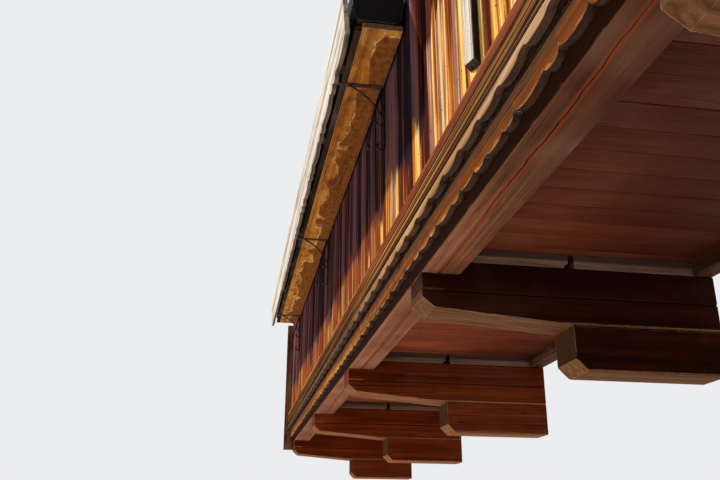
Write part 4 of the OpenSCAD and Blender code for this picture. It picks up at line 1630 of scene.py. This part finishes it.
@dataclass
class FlowerBox:
    """Tray planks, rail, front board, cleats and troughs."""

    def planks(self) -> TrayTimber:
        """Returns the finish of the tray's planks, ochre with bleached edges."""
        return TrayTimber(
            "tray_spruce", Axis.X,
            ((0.0, (0.50, 0.170, 0.030)), (0.35, (0.80, 0.33, 0.065)), (0.65, (1.0, 0.48, 0.10)),
             (1.0, (1.0, 0.68, 0.22))),
            knots=0.4, bleach=0.04, wear=0.9, worn=(0.84, 0.70, 0.50), radius=0.005, knot=(0.28, 0.12, 0.04),
            rough=0.68, narrow=0.7)

    def board(self) -> Timber:
        """Returns the finish of the front board, bleached nearly white, with painted shade in brown on its
        underside.
        """
        return Timber(
            "front_bleached", Axis.X,
            ((0.0, (0.42, 0.36, 0.32)), (0.25, (0.76, 0.70, 0.64)), (0.6, (0.92, 0.87, 0.81)),
             (1.0, (0.97, 0.94, 0.90))),
            knots=0.10, wear=0.3, worn=(0.95, 0.91, 0.86), grey=(0.62, 0.59, 0.58), bleach=0.2, ring=0.10,
            fibre=0.3, rough=0.7, relief=0.002, under=(0.12, 0.080, 0.055))

    def build(self) -> None:
        """Dresses the whole box."""
        dress("tray_planks", self.planks().material())
        dress("tray_rail", Timber(
            "rail_grey", Axis.X,
            ((0.0, (0.03, 0.018, 0.012)), (0.5, (0.085, 0.050, 0.034)), (1.0, (0.22, 0.15, 0.11))),
            worn=(0.34, 0.26, 0.20), rough=0.7).material())
        dress("front_cleats", Timber(
            "cleat_spruce", Axis.X,
            ((0.0, (0.05, 0.03, 0.02)), (0.5, (0.13, 0.085, 0.06)), (1.0, (0.30, 0.22, 0.17))),
            wear=0.8).material())
        dress("front_board", self.board().material())
        dress("tray_troughs", Lacquer(
            "trough_plastic", colour=(0.006, 0.006, 0.006), dust=(0.014, 0.013, 0.012), metallic=0.0,
            rough=0.40, pitting=0.0002, wear=(0.26, 0.27, 0.30), radius=0.003, sheen=0.22).material())


@dataclass
class Ironwork:
    """Scrolled iron brackets under the flower box."""

    def iron(self) -> Lacquer:
        """Returns the finish of blackened iron with a pinkish bloom."""
        return Lacquer("blackened_iron", colour=(0.020, 0.017, 0.016), dust=(0.11, 0.08, 0.075),
                       metallic=0.55, rough=0.42, pitting=0.0006, wear=(0.42, 0.34, 0.33))

    def build(self) -> None:
        """Dresses the brackets."""
        dress("iron_brackets", self.iron().material())


@dataclass
class Studio:
    """Camera at the photograph's angle, soft warm key light, pale sky and a pale floor."""

    eye: Triple = (4.3695, -1.8, -0.9)
    forward: Triple = (-0.9206, 0.1534, 0.3590)
    right: Triple = (0.1644, 0.9864, 0.0)
    up: Triple = (0.3541, -0.0590, 0.9333)
    roll: float = 0.3
    lens: float = 39.15
    film: float = 36.0
    sight: Range = (0.05, 200.0)
    key_from: Triple = (-0.449, -0.408, 0.795)
    key_power: float = 7.2
    key_angle: float = 2.0
    key_tint: Colour = (1.0, 0.94, 0.84)
    sky_power: float = 0.18
    sky_tint: Colour = (0.97, 0.95, 0.96)
    seen_power: float = 0.86
    seen_tint: Colour = (0.97, 0.98, 1.0)
    bounce_at: Triple = (-1.6, -3.6, -2.35)
    bounce_size: Range = (5.0, 3.0)
    bounce_power: float = 60.0
    bounce_tint: Colour = (1.0, 0.88, 0.72)
    ground: float = -2.5
    half_floor: float = 30.0
    plaster: Colour = (0.42, 0.40, 0.375)

    def add(self, name: str, data: bpy.types.ID) -> bpy.types.Object:
        """Puts an object into the scene.

        Args:
            name: Name of the object.
            data: Its camera, light or mesh.

        Returns:
            The object.
        """
        thing = bpy.data.objects.new(name, data)
        bpy.context.scene.collection.objects.link(thing)
        return thing

    def camera(self) -> bpy.types.Object:
        """Sets the camera up, turned about its view line by the roll.

        Returns:
            The camera.
        """
        camera = self.add("camera", bpy.data.cameras.new("camera"))
        turn, right, up = math.radians(self.roll), Vector(self.right), Vector(self.up)
        across = math.cos(turn) * right + math.sin(turn) * up
        above = math.cos(turn) * up - math.sin(turn) * right
        aim = Matrix((across, above, -Vector(self.forward))).transposed().to_4x4()
        camera.matrix_world = Matrix.Translation(self.eye) @ aim
        camera.data.lens, camera.data.sensor_width = self.lens, self.film
        camera.data.clip_start, camera.data.clip_end = self.sight
        return camera

    def lights(self) -> None:
        """Sets up the sun, which is the key light, and the warm light that the ground throws back."""
        key = self.add("key", bpy.data.lights.new("key", "SUN"))
        key.data.energy, key.data.color = self.key_power, self.key_tint
        key.data.angle = math.radians(self.key_angle)
        key.rotation_mode = "QUATERNION"
        key.rotation_quaternion = Vector(self.key_from).to_track_quat("Z", "Y")
        bounce = self.add("bounce", bpy.data.lights.new("bounce", "AREA"))
        bounce.data.energy, bounce.data.color = self.bounce_power, self.bounce_tint
        bounce.data.shape = "RECTANGLE"
        bounce.data.size, bounce.data.size_y = self.bounce_size
        bounce.matrix_world = Matrix.Translation(self.bounce_at) @ Matrix.Rotation(math.pi, 4, "X")
        bounce.visible_camera = False

    def sky(self, world: bpy.types.World) -> None:
        """Fills the sky: dim for what it lights, pale where the camera sees it.

        Args:
            world: The scene's world.
        """
        world.use_nodes = True
        graph = Graph(world.node_tree)
        shown = graph.out(graph.add("ShaderNodeLightPath"), "Is Camera Ray")
        dim = graph.add("ShaderNodeBackground", {"Color": self.sky_tint, "Strength": self.sky_power})
        pale = graph.add("ShaderNodeBackground", {"Color": self.seen_tint, "Strength": self.seen_power})
        both = graph.add("ShaderNodeMixShader", {0: shown, 1: graph.out(dim), 2: graph.out(pale)})
        graph.add("ShaderNodeOutputWorld", {"Surface": graph.out(both)})

    def floor(self) -> None:
        """Lays the floor, a plain square of pale plaster under the balcony."""
        half = self.half_floor
        mesh = bpy.data.meshes.new("floor")
        outline = ((-half, -half), (half, -half), (half, half), (-half, half))
        corners = [(x, y, self.ground) for x, y in outline]
        mesh.from_pydata(corners, [], [(0, 1, 2, 3)])
        material = bpy.data.materials.new("floor_plaster")
        material.use_nodes = True
        shader = material.node_tree.nodes["Principled BSDF"]
        shader.inputs["Base Color"].default_value = (*self.plaster, 1.0)
        shader.inputs["Roughness"].default_value = 0.9
        mesh.materials.append(material)
        self.add("floor", mesh)

    def build(self) -> None:
        """Sets up camera, lights, sky and floor."""
        scene = bpy.context.scene
        scene.camera = self.camera()
        scene.view_settings.view_transform = "Standard"
        scene.world = scene.world or bpy.data.worlds.new("sky")
        self.lights()
        self.sky(scene.world)
        self.floor()
        LOG.info("studio: camera, key light, sky and floor")


def main() -> None:
    logging.basicConfig(level=logging.INFO, format="%(message)s")
    Studio().build()
    Logs().build()
    Floor().build()
    Front().build()
    Balustrade().build()
    FlowerBox().build()
    Ironwork().build()


if __name__ == "__main__":
    main()
